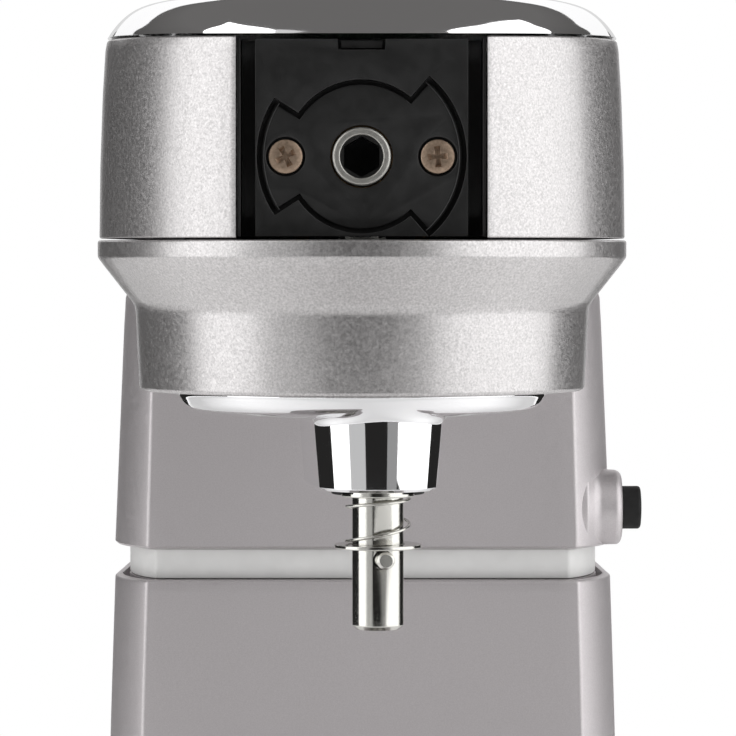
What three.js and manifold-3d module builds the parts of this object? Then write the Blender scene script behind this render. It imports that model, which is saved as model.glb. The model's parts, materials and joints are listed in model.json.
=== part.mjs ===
// Tilt-head stand mixer: head with power outlet and planetary drive on a hinged neck, column and base.
// Units are millimetres. +Z is up, the front of the machine faces -Y, the counter is at z = 0.

import * as THREE from 'three';
import { mergeVertices } from 'three/addons/utils/BufferGeometryUtils.js';
import Module from 'manifold-3d';

const wasm = await Module();
wasm.setup();

// ---------------------------------------------------------------- driving dimensions

const GAP = 0.3;                  // clearance between pieces that touch
const SEAM = 290;                 // parting line of the head
const PLANET_Y = -78;             // planetary axis, also the centre of the round nose
const WALL = 3;                   // casing wall

const HEAD_REAR = 178;            // tail of the head
const TAIL_LENGTH = 60;           // length of the rounded tail
const HEAD_TAPER = 0.12;          // share of its width that the head loses towards the tail
const CAP_EDGE = 340;             // lower edge of the chrome cover on the sides
const CAP_DIP = 2;                // how far that edge dips at the nose
const CROWN_RISE = 7.5;           // rise of the cover from the nose to its top
const CROWN_Y = 30;
const CROWN_REACH = 108;
const TRAY_FLOOR = 265;           // underside of the lower housing behind the nose
const CUP_BOTTOM = 252.3;         // lower rim of the nose
const CUP_BORE = 53;

const OUTLET_Z = 309.6;           // power outlet axis
const OUTLET_HALF = 29.8;         // half-width of the outlet opening
const BEZEL_FACE = -133.4;        // front of the black panel
const RECESS_FLOOR = -129;        // floor of the lug-shaped recess in the panel
const PLATE_FACE = -131.4;        // face of the bayonet plate in that recess
const OUTLET_SCREW_X = 18.1;

const ORBIT = 28;                 // beater axis to planetary axis
const ORBIT_ANGLE = THREE.MathUtils.degToRad(-82);
const BEATER_X = ORBIT * Math.cos(ORBIT_ANGLE);
const BEATER_Y = ORBIT * Math.sin(ORBIT_ANGLE);
const BEATER_RADIUS = 6.35;
const SHAFT_END = 194.5;
const PIN_Z = 211.9;
const PIN_TURN = THREE.MathUtils.degToRad(-78);
const WASHER_Z = 214.4;
const COLLAR_Z = 227;

const COUNTER_Z = SEAM;           // countershaft axis
const MOTOR_Z = SEAM + 24;        // motor axis
const MOTOR_RADIUS = 28;
const CAN_FRONT = 45;
const CAN_REAR = 125;

const NECK_FRONT = 12;
const NECK_REAR = 112;
const NECK_BOTTOM = 204.8;
const COLUMN_TOP = 196;
const HINGE_Y = 98;
const HINGE_Z = 211;
const BARREL_RADIUS = 13.5;
const PIN_RADIUS = 4;
const KNUCKLE_IN = 28;
const KNUCKLE_OUT = 40;
const LATCH_Y = 28;
const LATCH_Z = 215.2;
const DIAL_Y = 110;
const DIAL_Z = SEAM + 25;

const BASE_RADIUS = 100;          // round front of the base, about the planetary axis
const BASE_REAR = 168;
const BASE_REAR_HALF = 80;
const BASE_TOP = 30;
const FOOT_HEIGHT = 3;
const PLATE_RADIUS = 62;          // bowl clamp plate

// ---------------------------------------------------------------- shape helpers

const { degToRad } = THREE.MathUtils;

function signedVolume(position, index) {
  const a = new THREE.Vector3();
  const b = new THREE.Vector3();
  const c = new THREE.Vector3();
  let sum = 0;
  for (let i = 0; i < index.length; i += 3) {
    a.fromArray(position, 3 * index[i]);
    b.fromArray(position, 3 * index[i + 1]);
    c.fromArray(position, 3 * index[i + 2]);
    sum += a.dot(b.cross(c)) / 6;
  }
  return sum;
}

function toSolid(geometry) {
  const plain = geometry.clone();
  plain.deleteAttribute('normal');
  plain.deleteAttribute('uv');
  const merged = mergeVertices(plain, 1e-4);
  const vertProperties = Float32Array.from(merged.attributes.position.array);
  const triVerts = Uint32Array.from(merged.index.array);
  if (signedVolume(vertProperties, triVerts) < 0) triVerts.reverse();
  return new wasm.Manifold(new wasm.Mesh({ numProp: 3, vertProperties, triVerts }));
}

function fromSolid(manifold) {
  const mesh = manifold.getMesh();
  const geometry = new THREE.BufferGeometry();
  geometry.setAttribute('position', new THREE.BufferAttribute(mesh.vertProperties, 3));
  geometry.setIndex(new THREE.BufferAttribute(mesh.triVerts, 1));
  return geometry;
}

const join = (first, ...rest) =>
  fromSolid(rest.reduce((sum, next) => sum.add(toSolid(next)), toSolid(first)));

const cut = (first, ...rest) =>
  fromSolid(rest.reduce((sum, next) => sum.subtract(toSolid(next)), toSolid(first)));

const keep = (first, second) => fromSolid(toSolid(first).intersect(toSolid(second)));

function box(x0, x1, y0, y1, z0, z1) {
  const geometry = new THREE.BoxGeometry(x1 - x0, y1 - y0, z1 - z0);
  return geometry.translate((x0 + x1) / 2, (y0 + y1) / 2, (z0 + z1) / 2);
}

// A geometry built about the Z axis is turned so that its axis lies along X, Y or Z.
// The pair (a, b) is the place of the axis in the two other directions, in alphabetical order.
function along(axis, geometry, a = 0, b = 0) {
  if (axis === 'x') return geometry.rotateY(Math.PI / 2).translate(0, a, b);
  if (axis === 'y') return geometry.rotateX(-Math.PI / 2).translate(a, 0, b);
  return geometry.translate(a, b, 0);
}

function rod(axis, radius, from, to, a = 0, b = 0, segments = 16) {
  const geometry = new THREE.CylinderGeometry(radius, radius, to - from, segments);
  geometry.rotateX(Math.PI / 2).translate(0, 0, (from + to) / 2);
  return along(axis, geometry, a, b);
}

// A body of revolution about Z from [radius, height] pairs that start and end on the axis or close.
function turned(profile, segments = 16) {
  const points = profile.map(([radius, height]) => new THREE.Vector2(radius, height));
  return new THREE.LatheGeometry(points, segments).rotateX(Math.PI / 2);
}

function sleeve(outer, inner, from, to, segments = 16) {
  return turned([[inner, from], [outer, from], [outer, to], [inner, to], [inner, from]], segments);
}

function prism(outline, from, to) {
  const options = { depth: to - from, bevelEnabled: false, curveSegments: 1 };
  return new THREE.ExtrudeGeometry(new THREE.Shape(outline), options).translate(0, 0, from);
}

// Rings of equal length, one above another, joined into one closed body.
// With loop, the last ring joins the first, which makes a wall that is open at both ends.
function loft(rings, loop = false) {
  const count = rings[0].length;
  const positions = rings.flat().flatMap((p) => [p.x, p.y, p.z]);
  const index = [];
  const bands = loop ? rings.length : rings.length - 1;
  for (let r = 0; r < bands; r += 1) {
    const low = r * count;
    const high = ((r + 1) % rings.length) * count;
    for (let i = 0; i < count; i += 1) {
      const next = (i + 1) % count;
      index.push(low + i, low + next, high + next, low + i, high + next, high + i);
    }
  }
  if (!loop) {
    for (const [ring, flip] of [[0, true], [rings.length - 1, false]]) {
      const middle = new THREE.Vector3();
      for (const point of rings[ring]) middle.addScaledVector(point, 1 / count);
      const centre = positions.length / 3;
      positions.push(middle.x, middle.y, middle.z);
      for (let i = 0; i < count; i += 1) {
        const a = ring * count + i;
        const b = ring * count + ((i + 1) % count);
        index.push(centre, flip ? b : a, flip ? a : b);
      }
    }
  }
  const geometry = new THREE.BufferGeometry();
  geometry.setAttribute('position', new THREE.Float32BufferAttribute(positions, 3));
  geometry.setIndex(index);
  return geometry;
}

const lift = (outline, z) => outline.map((p) => new THREE.Vector3(p.x, p.y, z));

class Helix extends THREE.Curve {
  constructor(radius, from, to, turns) {
    super();
    Object.assign(this, { radius, from, to, turns });
  }

  getPoint(t) {
    const angle = 2 * Math.PI * this.turns * t;
    const z = this.from + (this.to - this.from) * t;
    return new THREE.Vector3(this.radius * Math.cos(angle), this.radius * Math.sin(angle), z);
  }
}

function spring(radius, wire, from, to, turns) {
  const section = new THREE.Shape();
  const sides = 5;
  for (let i = 0; i < sides; i += 1) {
    const angle = (2 * Math.PI * i) / sides;
    const x = wire * Math.cos(angle);
    const y = wire * Math.sin(angle);
    if (i === 0) section.moveTo(x, y);
    else section.lineTo(x, y);
  }
  const extrudePath = new Helix(radius, from + wire, to - wire, turns);
  return new THREE.ExtrudeGeometry(section, { steps: Math.round(9 * turns), extrudePath });
}

// ---------------------------------------------------------------- gear helpers

const PRESSURE = degToRad(20);
const involute = (angle) => Math.tan(angle) - angle;
const BACKLASH = 0.3;             // taken from each flank
const ADDENDUM = 0.8;             // stub teeth, in modules
const DEDENDUM = 1.05;

// Half the angle that a tooth of an external gear takes up at a radius.
function toothHalfAngle(teeth, pitchRadius, radius, play) {
  const base = pitchRadius * Math.cos(PRESSURE);
  const pressure = radius > base ? Math.acos(base / radius) : 0;
  return Math.PI / (2 * teeth) + involute(PRESSURE) - involute(pressure) - play / pitchRadius;
}

// Straight-sided teeth whose corners lie on the involute. One tooth is centred on the phase.
function gearOutline(teeth, module, phase, radii, play) {
  const pitchRadius = (teeth * module) / 2;
  const outline = [];
  const flank = radii.map((radius) => [radius, toothHalfAngle(teeth, pitchRadius, radius, play)]);
  for (let tooth = 0; tooth < teeth; tooth += 1) {
    const centre = phase + (2 * Math.PI * tooth) / teeth;
    const corners = [
      ...flank.map(([radius, half]) => [radius, centre - half]),
      ...[...flank].reverse().map(([radius, half]) => [radius, centre + half]),
    ];
    for (const [radius, angle] of corners) {
      outline.push(new THREE.Vector2(radius * Math.cos(angle), radius * Math.sin(angle)));
    }
  }
  return outline;
}

function spurGear(teeth, module, phase, from, to, bore, fine = false) {
  const pitch = (teeth * module) / 2;
  const tip = pitch + ADDENDUM * module;
  const root = pitch - DEDENDUM * module;
  const radii = fine ? [root, pitch, tip] : [root, tip];
  const body = prism(gearOutline(teeth, module, phase, radii, BACKLASH), from, to);
  return cut(body, rod('z', bore, from - 1, to + 1));
}

function internalGear(teeth, module, phase, from, to, outer) {
  const pitch = (teeth * module) / 2;
  const radii = [pitch - ADDENDUM * module, pitch + DEDENDUM * module];
  const space = prism(gearOutline(teeth, module, phase, radii, -BACKLASH), from - 1, to + 1);
  return cut(rod('z', outer, from, to, 0, 0, 28), space);
}

// Bevel gear with its apex at the origin and its body below it, on the Z axis.
function bevelGear(teeth, mateTeeth, module, phase, face, back, bore) {
  const cone = Math.atan(teeth / mateTeeth);
  const pitch = (teeth * module) / 2;
  const depth = pitch / Math.tan(cone);
  const virtual = pitch / Math.cos(cone);
  const shrink = 1 - face / Math.hypot(pitch, depth);
  const large = [];
  for (let tooth = 0; tooth < teeth; tooth += 1) {
    const centre = phase + (2 * Math.PI * tooth) / teeth;
    for (const [side, rise] of [[-1, -DEDENDUM], [-1, ADDENDUM], [1, ADDENDUM], [1, -DEDENDUM]]) {
      const height = rise * module;
      const half = toothHalfAngle(teeth / Math.cos(cone), virtual, virtual + height, BACKLASH);
      const radius = pitch + height * Math.cos(cone);
      const angle = centre + (side * half * (virtual + height)) / radius;
      const z = -depth + height * Math.sin(cone);
      large.push(new THREE.Vector3(radius * Math.cos(angle), radius * Math.sin(angle), z));
    }
  }
  const root = pitch - DEDENDUM * module * Math.cos(cone) - 0.2;
  const rear = large.map((p) => {
    const angle = Math.atan2(p.y, p.x);
    return new THREE.Vector3(root * Math.cos(angle), root * Math.sin(angle), -depth - back);
  });
  const small = large.map((p) => p.clone().multiplyScalar(shrink));
  return cut(loft([rear, large, small]), rod('z', bore, -depth - back - 5, 5));
}

// ---------------------------------------------------------------- plan outlines

// Head: round nose about the planetary axis, sides that taper gently, elliptical tail.
// The inset moves the whole outline inwards.
function headOutline(half, rear) {
  const noseSteps = 18;
  const sideSteps = 3;
  const tailSteps = 12;
  const tailStart = HEAD_REAR - TAIL_LENGTH;
  const width = (y) => half * (1 - HEAD_TAPER * ((y - PLANET_Y) / (HEAD_REAR - PLANET_Y)) ** 2);
  const points = [];
  for (let i = 0; i < sideSteps; i += 1) {
    const y = PLANET_Y + ((tailStart - PLANET_Y) * i) / sideSteps;
    points.push(new THREE.Vector2(width(y), y));
  }
  for (let i = 0; i <= tailSteps; i += 1) {
    const angle = (Math.PI * i) / tailSteps;
    const y = tailStart + (rear - tailStart) * Math.sin(angle);
    points.push(new THREE.Vector2(width(tailStart) * Math.cos(angle), y));
  }
  for (let i = sideSteps - 1; i > 0; i -= 1) {
    const y = PLANET_Y + ((tailStart - PLANET_Y) * i) / sideSteps;
    points.push(new THREE.Vector2(-width(y), y));
  }
  for (let i = 0; i < noseSteps; i += 1) {
    const angle = Math.PI + (Math.PI * i) / noseSteps;
    points.push(new THREE.Vector2(half * Math.cos(angle), PLANET_Y + half * Math.sin(angle)));
  }
  return points;
}

// Neck and column: flat front face between two creases, rounded flanks, round rear corners.
function standOutline(half, crease, front, rear) {
  const flankDepth = 24;
  const corner = 28;
  const narrowing = 1.5;
  const flank = new THREE.QuadraticBezierCurve(
    new THREE.Vector2(crease, front),
    new THREE.Vector2(half - 1.2, front + flankDepth * 0.4),
    new THREE.Vector2(half, front + flankDepth),
  );
  const right = flank.getPoints(3);
  for (let i = 0; i <= 3; i += 1) {
    const angle = (Math.PI / 2) * (i / 3);
    const x = half - narrowing - corner * (1 - Math.cos(angle));
    right.push(new THREE.Vector2(x, rear - corner * (1 - Math.sin(angle))));
  }
  const left = right.map((p) => new THREE.Vector2(-p.x, p.y)).reverse();
  return [...right, ...left];
}

// Base: round front about the planetary axis, waist, elliptical rear.
function baseOutline(inset) {
  const frontSteps = 20;
  const sideSteps = 6;
  const rearSteps = 10;
  const rearStart = 100;
  const { smoothstep } = THREE.MathUtils;
  const width = (y) => BASE_RADIUS - (BASE_RADIUS - BASE_REAR_HALF) * smoothstep(y, PLANET_Y, 40);
  const points = [];
  for (let i = 0; i < sideSteps; i += 1) {
    const y = PLANET_Y + ((rearStart - PLANET_Y) * i) / sideSteps;
    points.push(new THREE.Vector2(width(y) - inset, y));
  }
  for (let i = 0; i <= rearSteps; i += 1) {
    const angle = (Math.PI * i) / rearSteps;
    const x = (BASE_REAR_HALF - inset) * Math.cos(angle);
    points.push(new THREE.Vector2(x, rearStart + (BASE_REAR - rearStart - inset) * Math.sin(angle)));
  }
  for (let i = sideSteps - 1; i > 0; i -= 1) {
    const y = PLANET_Y + ((rearStart - PLANET_Y) * i) / sideSteps;
    points.push(new THREE.Vector2(-(width(y) - inset), y));
  }
  for (let i = 0; i < frontSteps; i += 1) {
    const angle = Math.PI + (Math.PI * i) / frontSteps;
    const radius = BASE_RADIUS - inset;
    points.push(new THREE.Vector2(radius * Math.cos(angle), PLANET_Y + radius * Math.sin(angle)));
  }
  return points;
}

const headRing = (half, z) => lift(headOutline(half, HEAD_REAR - 66.5 + half), z);

// ---------------------------------------------------------------- finishes

const finish = (color, roughness, metalness) =>
  new THREE.MeshStandardMaterial({ color, roughness, metalness });
const silverPaint = finish(0xb4b2b2, 0.38, 0.7);
const satinPaint = finish(0xa09b9d, 0.45, 0.5);
const chrome = finish(0xd8d8da, 0.06, 1);
const steel = finish(0xb2b2b0, 0.3, 1);
const gearSteel = finish(0x8d8d90, 0.35, 1);
const screwSteel = finish(0x967d69, 0.35, 0.9);
const brass = finish(0xb08d4a, 0.35, 1);
const bronze = finish(0x8a6a42, 0.45, 0.9);
const copper = finish(0xa8683c, 0.4, 0.9);
const castAlloy = finish(0x9a9a9c, 0.55, 0.8);
const blackPlastic = finish(0x292929, 0.5, 0);
const palePlastic = finish(0xcccccc, 0.5, 0.1);
const rubber = finish(0x1c1c1c, 0.85, 0);
const boardGreen = finish(0x2f5a3a, 0.6, 0);

const mixer = new THREE.Group();

function place(parent, name, geometry, material, position = [0, 0, 0]) {
  const mesh = new THREE.Mesh(fromSolid(toSolid(geometry)), material);
  mesh.name = name;
  mesh.position.set(...position);
  parent.add(mesh);
}

function addGroup(parent, position, turned90 = false) {
  const group = new THREE.Group();
  group.position.set(...position);
  if (turned90) group.rotation.x = -Math.PI / 2;
  parent.add(group);
  return group;
}

// ---------------------------------------------------------------- base and column

function makeBase() {
  const sections = [[3, 3], [5, 1], [8, 0], [22, 0], [26.5, 2.2], [29, 5.2], [BASE_TOP, 9]];
  const outer = loft(sections.map(([z, inset]) => lift(baseOutline(inset), z)));
  const roof = 24;
  const cavity = prism(baseOutline(8), 2, roof);
  const recess = rod('z', PLATE_RADIUS + GAP + 0.2, 26.8, BASE_TOP + 2, 0, PLANET_Y, 32);
  const inletHole = rod('y', 7.3, 140, 175, -30, 14);
  const screwHoles = [-30, 30].map((x) => rod('z', 2.3, 20, BASE_TOP, x, PLANET_Y, 12));
  return cut(outer, cavity, recess, inletHole, ...screwHoles);
}

function makeClampPlate() {
  const floor = 29.3;
  const rim = 32.2;
  const body = turned([
    [0, 27.1], [PLATE_RADIUS - GAP, 27.1], [PLATE_RADIUS - GAP, 31.4], [60.8, rim],
    [48, rim], [48, floor], [0, floor],
  ], 32);
  const lugs = [0, Math.PI].map((middle) => {
    const outline = [];
    for (let i = 0; i <= 6; i += 1) {
      const angle = middle + degToRad(-24 + 8 * i);
      outline.push(new THREE.Vector2(49 * Math.cos(angle), 49 * Math.sin(angle)));
    }
    for (let i = 6; i >= 0; i -= 1) {
      const angle = middle + degToRad(-24 + 8 * i);
      outline.push(new THREE.Vector2(43.5 * Math.cos(angle), 43.5 * Math.sin(angle)));
    }
    return prism(outline, 30.8, rim);
  });
  const holes = [-30, 30].map((x) => rod('z', 2.3, 20, rim, x, 0, 12));
  return cut(join(body, ...lugs), ...holes);
}

function makeColumn() {
  const sections = [
    [BASE_TOP + GAP, 76, 64, 8, 150], [60, 74, 63, 9.5, 140], [110, 72.3, 61.5, 11, 126],
    [152, 71.5, 61.2, 12, 117], [193, 69.9, 59.8, 12, 112.5], [COLUMN_TOP, 69.2, 59.3, 12.4, 112],
  ];
  const wall = 5;
  const outer = loft(sections.map(([z, half, crease, front, rear]) =>
    lift(standOutline(half, crease, front, rear), z)));
  const inner = loft([sections[0], sections[2], sections[4]].map(([z, half, crease, front, rear], i) =>
    lift(standOutline(half - wall, crease - wall, front + wall, rear - wall), [z - 1, 110, 190][i])));
  const ears = [];
  for (const side of [-1, 1]) {
    const near = side > 0 ? KNUCKLE_IN + GAP : -KNUCKLE_OUT + GAP;
    const far = side > 0 ? KNUCKLE_OUT - GAP : -KNUCKLE_IN - GAP;
    ears.push(rod('x', BARREL_RADIUS - GAP, near, far, HINGE_Y, HINGE_Z, 32));
    ears.push(box(near, far, HINGE_Y - 10, HINGE_Y + 10, COLUMN_TOP - 4, HINGE_Z - 8));
  }
  const bore = rod('x', PIN_RADIUS + GAP, -70, 70, HINGE_Y, HINGE_Z);
  return cut(join(cut(outer, inner), ...ears), bore);
}

function makeHingeCollar() {
  const outline = (inset) =>
    standOutline(70 - inset, 59.5 - inset / 2, NECK_FRONT + inset, NECK_REAR - inset);
  const ring = cut(
    prism(outline(4), COLUMN_TOP + GAP, NECK_BOTTOM - GAP),
    prism(outline(8), COLUMN_TOP - 1, NECK_BOTTOM + 1),
  );
  return cut(ring, box(-90, 90, HINGE_Y - BARREL_RADIUS - 0.8, 130, COLUMN_TOP - 2, NECK_BOTTOM + 2));
}

function makeLatchKeeper() {
  const post = box(-6, 2, 22, 34, COLUMN_TOP + GAP, 214);
  const lip = box(-6, 7.5, 22, 34, 209, 214);
  return join(post, lip);
}

const stand = addGroup(mixer, [0, 0, 0]);
place(stand, 'base', makeBase(), satinPaint);
place(stand, 'base_cover', prism(baseOutline(8 + GAP), 3.3, 5.3), blackPlastic);
const feet = {
  front_left: [-70, -105],
  front_right: [70, -105],
  rear_left: [-50, 120],
  rear_right: [50, 120],
};
for (const [name, [x, y]] of Object.entries(feet)) {
  const foot = turned([[0, 0], [10, 0], [11, 1], [11, FOOT_HEIGHT], [0, FOOT_HEIGHT]], 12);
  place(stand, `foot_${name}`, foot, rubber, [x, y, 0]);
}
place(stand, 'bowl_clamp_plate', makeClampPlate(), steel, [0, PLANET_Y, 0]);
for (const [name, x] of [['left', -30], ['right', 30]]) {
  const screw = turned([[0, 21], [2, 21], [2, 29.6], [4, 29.6], [4, 30.8], [3.2, 31.4], [0, 31.4]], 16);
  place(stand, `clamp_screw_${name}`, screw, steel, [x, PLANET_Y, 0]);
}
place(stand, 'cord_inlet', along('y', sleeve(7, 3.6, 152, 166.5), -30, 14), rubber);
place(stand, 'column', makeColumn(), satinPaint);
place(stand, 'hinge_collar', makeHingeCollar(), palePlastic);
place(stand, 'hinge_pin', rod('x', PIN_RADIUS, -61, 61, HINGE_Y, HINGE_Z), steel);
place(stand, 'latch_keeper', makeLatchKeeper(), steel);

// ---------------------------------------------------------------- head casings

const head = addGroup(mixer, [0, 0, 0]);

const noseDip = (point) => {
  const forward = Math.max(0, (PLANET_Y - point.y) / 64);
  return CAP_DIP * forward ** 2;
};

const dipped = (ring) => ring.map((p) => p.clone().setZ(p.z - noseDip(p)));

function makeUpperHousing() {
  const top = CAP_EDGE - 0.3;
  const wall = loft([
    headRing(66, SEAM + 0.2), headRing(65.7, SEAM + 20), headRing(64.9, SEAM + 40),
    dipped(headRing(64.3, top - 2.2)), dipped(headRing(63.9, top)),
    dipped(headRing(60.9, top)), headRing(62.8, SEAM + 0.2),
  ], true);
  const outlet = box(-OUTLET_HALF, OUTLET_HALF, -160, -105, SEAM - 2, SEAM + 60);
  const vents = [];
  for (let i = -3; i <= 3; i += 1) {
    vents.push(box(6.5 * i - 1.5, 6.5 * i + 1.5, 150, 190, SEAM + 12, SEAM + 36));
  }
  const dialHole = rod('x', 8, 50, 80, DIAL_Y, DIAL_Z, 20);
  return cut(wall, outlet, ...vents, dialHole);
}

// Cover sections: height above the cover edge and half-width, from the edge to the spine.
const COVER_SECTIONS = [
  [0, 63.85], [1.9, 62.7], [4.4, 60.7], [6.5, 58.2], [8, 55.6], [9.2, 50], [10.1, 36], [10.4, 18],
];

function coverRing(height, half, thick) {
  const share = Math.min(1, (COVER_SECTIONS[0][1] - half) / 12);
  const drop = height > 0 ? thick : 0;
  return dipped(headRing(half - thick, CAP_EDGE + height - drop)).map((p) => {
    const rise = CROWN_RISE * Math.max(0, 1 - ((p.y - CROWN_Y) / CROWN_REACH) ** 2);
    const dip = noseDip(p) * share;
    return p.setZ(p.z + rise * share + dip);
  });
}

function makeTopCover() {
  const thick = 2;
  const outside = COVER_SECTIONS.map(([height, half]) => coverRing(height, half, 0)).reverse();
  const inside = COVER_SECTIONS.filter((_, i) => i % 2 === 0)
    .map(([height, half]) => coverRing(height, half, thick));
  return loft([...outside, ...inside]);
}

// Lower housing: a tray under the whole head and a round cup around the planetary drive.
function makeLowerHousing() {
  const tray = loft([
    headRing(54, TRAY_FLOOR), headRing(56.4, TRAY_FLOOR + 3), headRing(57.1, SEAM - 17),
    headRing(65.4, SEAM - 5.2), headRing(66.5, SEAM - 4), headRing(66.5, SEAM - 0.1),
  ]);
  const cup = turned([
    [0, CUP_BOTTOM], [55.2, CUP_BOTTOM], [56, CUP_BOTTOM + 0.8], [57, SEAM - 17], [0, SEAM - 17],
  ], 36);
  const hollow = loft([
    headRing(52.6, TRAY_FLOOR + WALL), headRing(54, SEAM - 16.5),
    headRing(62.4, SEAM - 4.6), headRing(62.6, SEAM + 1),
  ]);
  const bore = rod('z', CUP_BORE, CUP_BOTTOM - 1, SEAM - 18, 0, PLANET_Y, 36);
  const shell = cut(join(tray, cup.translate(0, PLANET_Y, 0)), hollow, bore);
  const saddle = cut(
    box(-22, 22, 58, 112, TRAY_FLOOR + 1, MOTOR_Z - 16),
    rod('y', MOTOR_RADIUS + GAP, 40, 130, 0, MOTOR_Z, 32),
  );
  return join(shell, saddle);
}

function makeNeck() {
  const sections = [
    [NECK_BOTTOM, 70, 59.5, 0], [240, 68.6, 58.6, 0], [268, 67.2, 57.8, 0],
    [274, 66.9, 57.7, 0], [276.4, 65.9, 57, 0.6], [277.8, 64.2, 56, 1.6],
  ];
  const ring = ([z, half, crease, inset]) =>
    lift(standOutline(half, crease, NECK_FRONT + inset, NECK_REAR - inset), z);
  const wall = 4;
  const outer = loft(sections.map(ring));
  const cavity = loft([
    [NECK_BOTTOM - 1, 70 - wall, 57, wall], [258, 64, 55, wall], [261, 60, 52, wall + 3],
  ].map(ring));
  const trayRoom = loft([
    headRing(54.6, TRAY_FLOOR - GAP), headRing(57.2, TRAY_FLOOR + 3), headRing(57.7, SEAM - 17),
    headRing(67, SEAM - 4),
  ]);
  const rearEdge = cut(
    box(-80, 80, HINGE_Y, HINGE_Y + 30, HINGE_Z - 14, HINGE_Z),
    rod('x', BARREL_RADIUS, -90, 90, HINGE_Y, HINGE_Z, 32),
  );
  const barrel = keep(
    rod('x', BARREL_RADIUS, -64, 64, HINGE_Y, HINGE_Z, 32),
    prism(standOutline(68, 58, NECK_FRONT, NECK_REAR), HINGE_Z - 20, HINGE_Z + 20),
  );
  const web = box(40, 44, 14, 44, NECK_BOTTOM + 1, 259);
  const boss = keep(
    rod('x', 10.5, 62, 72.5, LATCH_Y, LATCH_Z, 24),
    box(60, 75, LATCH_Y - 12, LATCH_Y + 12, NECK_BOTTOM, LATCH_Z + 12),
  );
  const notches = [-1, 1].map((side) => {
    const middle = (side * (KNUCKLE_IN + KNUCKLE_OUT)) / 2;
    const half = (KNUCKLE_OUT - KNUCKLE_IN) / 2 + GAP;
    return rod('x', BARREL_RADIUS + 1, middle - half, middle + half, HINGE_Y, HINGE_Z, 32);
  });
  const shell = join(cut(outer, cavity, trayRoom, rearEdge), barrel, web, boss);
  return cut(
    shell, ...notches,
    rod('x', PIN_RADIUS + GAP, -61.5, 61.5, HINGE_Y, HINGE_Z),
    rod('x', 6.4, 55, 80, LATCH_Y, LATCH_Z),
    rod('x', 3.4, 30, 60, LATCH_Y, LATCH_Z),
  );
}

place(head, 'upper_housing', makeUpperHousing(), silverPaint);
place(head, 'chrome_top_cover', makeTopCover(), chrome);
place(head, 'lower_housing', makeLowerHousing(), silverPaint);
place(head, 'neck_shell', makeNeck(), satinPaint);

// ---------------------------------------------------------------- power outlet

// Round plate with two lugs of different width, widened by the margin.
function lugOutline(margin) {
  const inner = 17.8 + margin;
  const outer = 24.5 + margin;
  const lugs = [[0, 49], [180, 33]];
  const points = [];
  for (let degrees = 0; degrees < 360; degrees += 360 / 48) {
    const onLug = lugs.some(([middle, half]) =>
      Math.abs(((degrees - middle + 540) % 360) - 180) <= half);
    const radius = onLug ? outer : inner;
    const angle = degToRad(degrees);
    points.push(new THREE.Vector2(radius * Math.cos(angle), radius * Math.sin(angle)));
  }
  return points;
}

function makeBezel() {
  const half = OUTLET_HALF - GAP;
  const top = CAP_EDGE - CAP_DIP - 0.5;
  const back = BEZEL_FACE + 15;
  const block = box(-half, half, BEZEL_FACE, back, SEAM + 0.6, top);
  const channels = [-1, 1].map((side) => {
    const middle = side * 27;
    return box(middle - 1.7, middle + 1.7, BEZEL_FACE - 10, BEZEL_FACE + 9, SEAM - 5, SEAM + 60);
  });
  const notch = box(-5.6, 5.6, BEZEL_FACE - 5, BEZEL_FACE + 4, top - 2.4, top + 5);
  const recess = along('y', prism(lugOutline(GAP), BEZEL_FACE - 5, RECESS_FLOOR), 0, OUTLET_Z);
  const bushBore = rod('y', 9.8, BEZEL_FACE - 5, back + 5, 0, OUTLET_Z);
  const screwBores = [-1, 1].map((side) =>
    rod('y', 2.3, BEZEL_FACE - 5, back + 5, side * OUTLET_SCREW_X, OUTLET_Z, 12));
  return cut(block, ...channels, notch, recess, bushBore, ...screwBores);
}

function makeBayonetPlate() {
  const plate = prism(lugOutline(0), PLATE_FACE, RECESS_FLOOR - GAP);
  const screwHoles = [-1, 1].map((side) => rod('z', 4.6, -150, -120, side * OUTLET_SCREW_X, 0));
  return along('y', cut(plate, rod('z', 7.4, -150, -120), ...screwHoles), 0, OUTLET_Z);
}

function makeOutletScrew(turnDegrees) {
  const face = PLATE_FACE - 0.2;
  const body = turned([
    [0, face], [3.4, face], [4.1, face + 0.4], [4.1, RECESS_FLOOR - GAP],
    [2, RECESS_FLOOR - GAP], [2, RECESS_FLOOR + 9], [0, RECESS_FLOOR + 9],
  ]);
  const cross = join(
    box(-2.4, 2.4, -0.45, 0.45, face - 1, face + 1.3),
    box(-0.45, 0.45, -2.4, 2.4, face - 1, face + 1.3),
  );
  return along('y', cut(body, cross.rotateZ(degToRad(turnDegrees))));
}

place(head, 'outlet_bezel', makeBezel(), blackPlastic);
place(head, 'outlet_bayonet_plate', makeBayonetPlate(), blackPlastic);
place(head, 'outlet_screw_left', makeOutletScrew(27), screwSteel, [-OUTLET_SCREW_X, 0, OUTLET_Z]);
place(head, 'outlet_screw_right', makeOutletScrew(4), screwSteel, [OUTLET_SCREW_X, 0, OUTLET_Z]);
const outletBush = sleeve(9.5, 7.3, RECESS_FLOOR + GAP, RECESS_FLOOR + 11);
place(head, 'outlet_bush', along('y', outletBush, 0, OUTLET_Z), bronze);

const MITER_TEETH = 16;
const MITER_MODULE = 1.8;

function makeOutletSleeve() {
  const front = PLATE_FACE - 1.2 - PLANET_Y;
  const body = turned([
    [0, front], [6.4, front], [7, front + 0.6], [7, -34], [5, -34], [5, -10], [0, -10],
  ], 24);
  const mouth = rod('z', 5.15, front - 1, front + 2.5);
  const hexagon = rod('z', 4.25 / Math.cos(degToRad(30)), front, front + 18, 0, 0, 6);
  return cut(body, mouth, hexagon);
}

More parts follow.
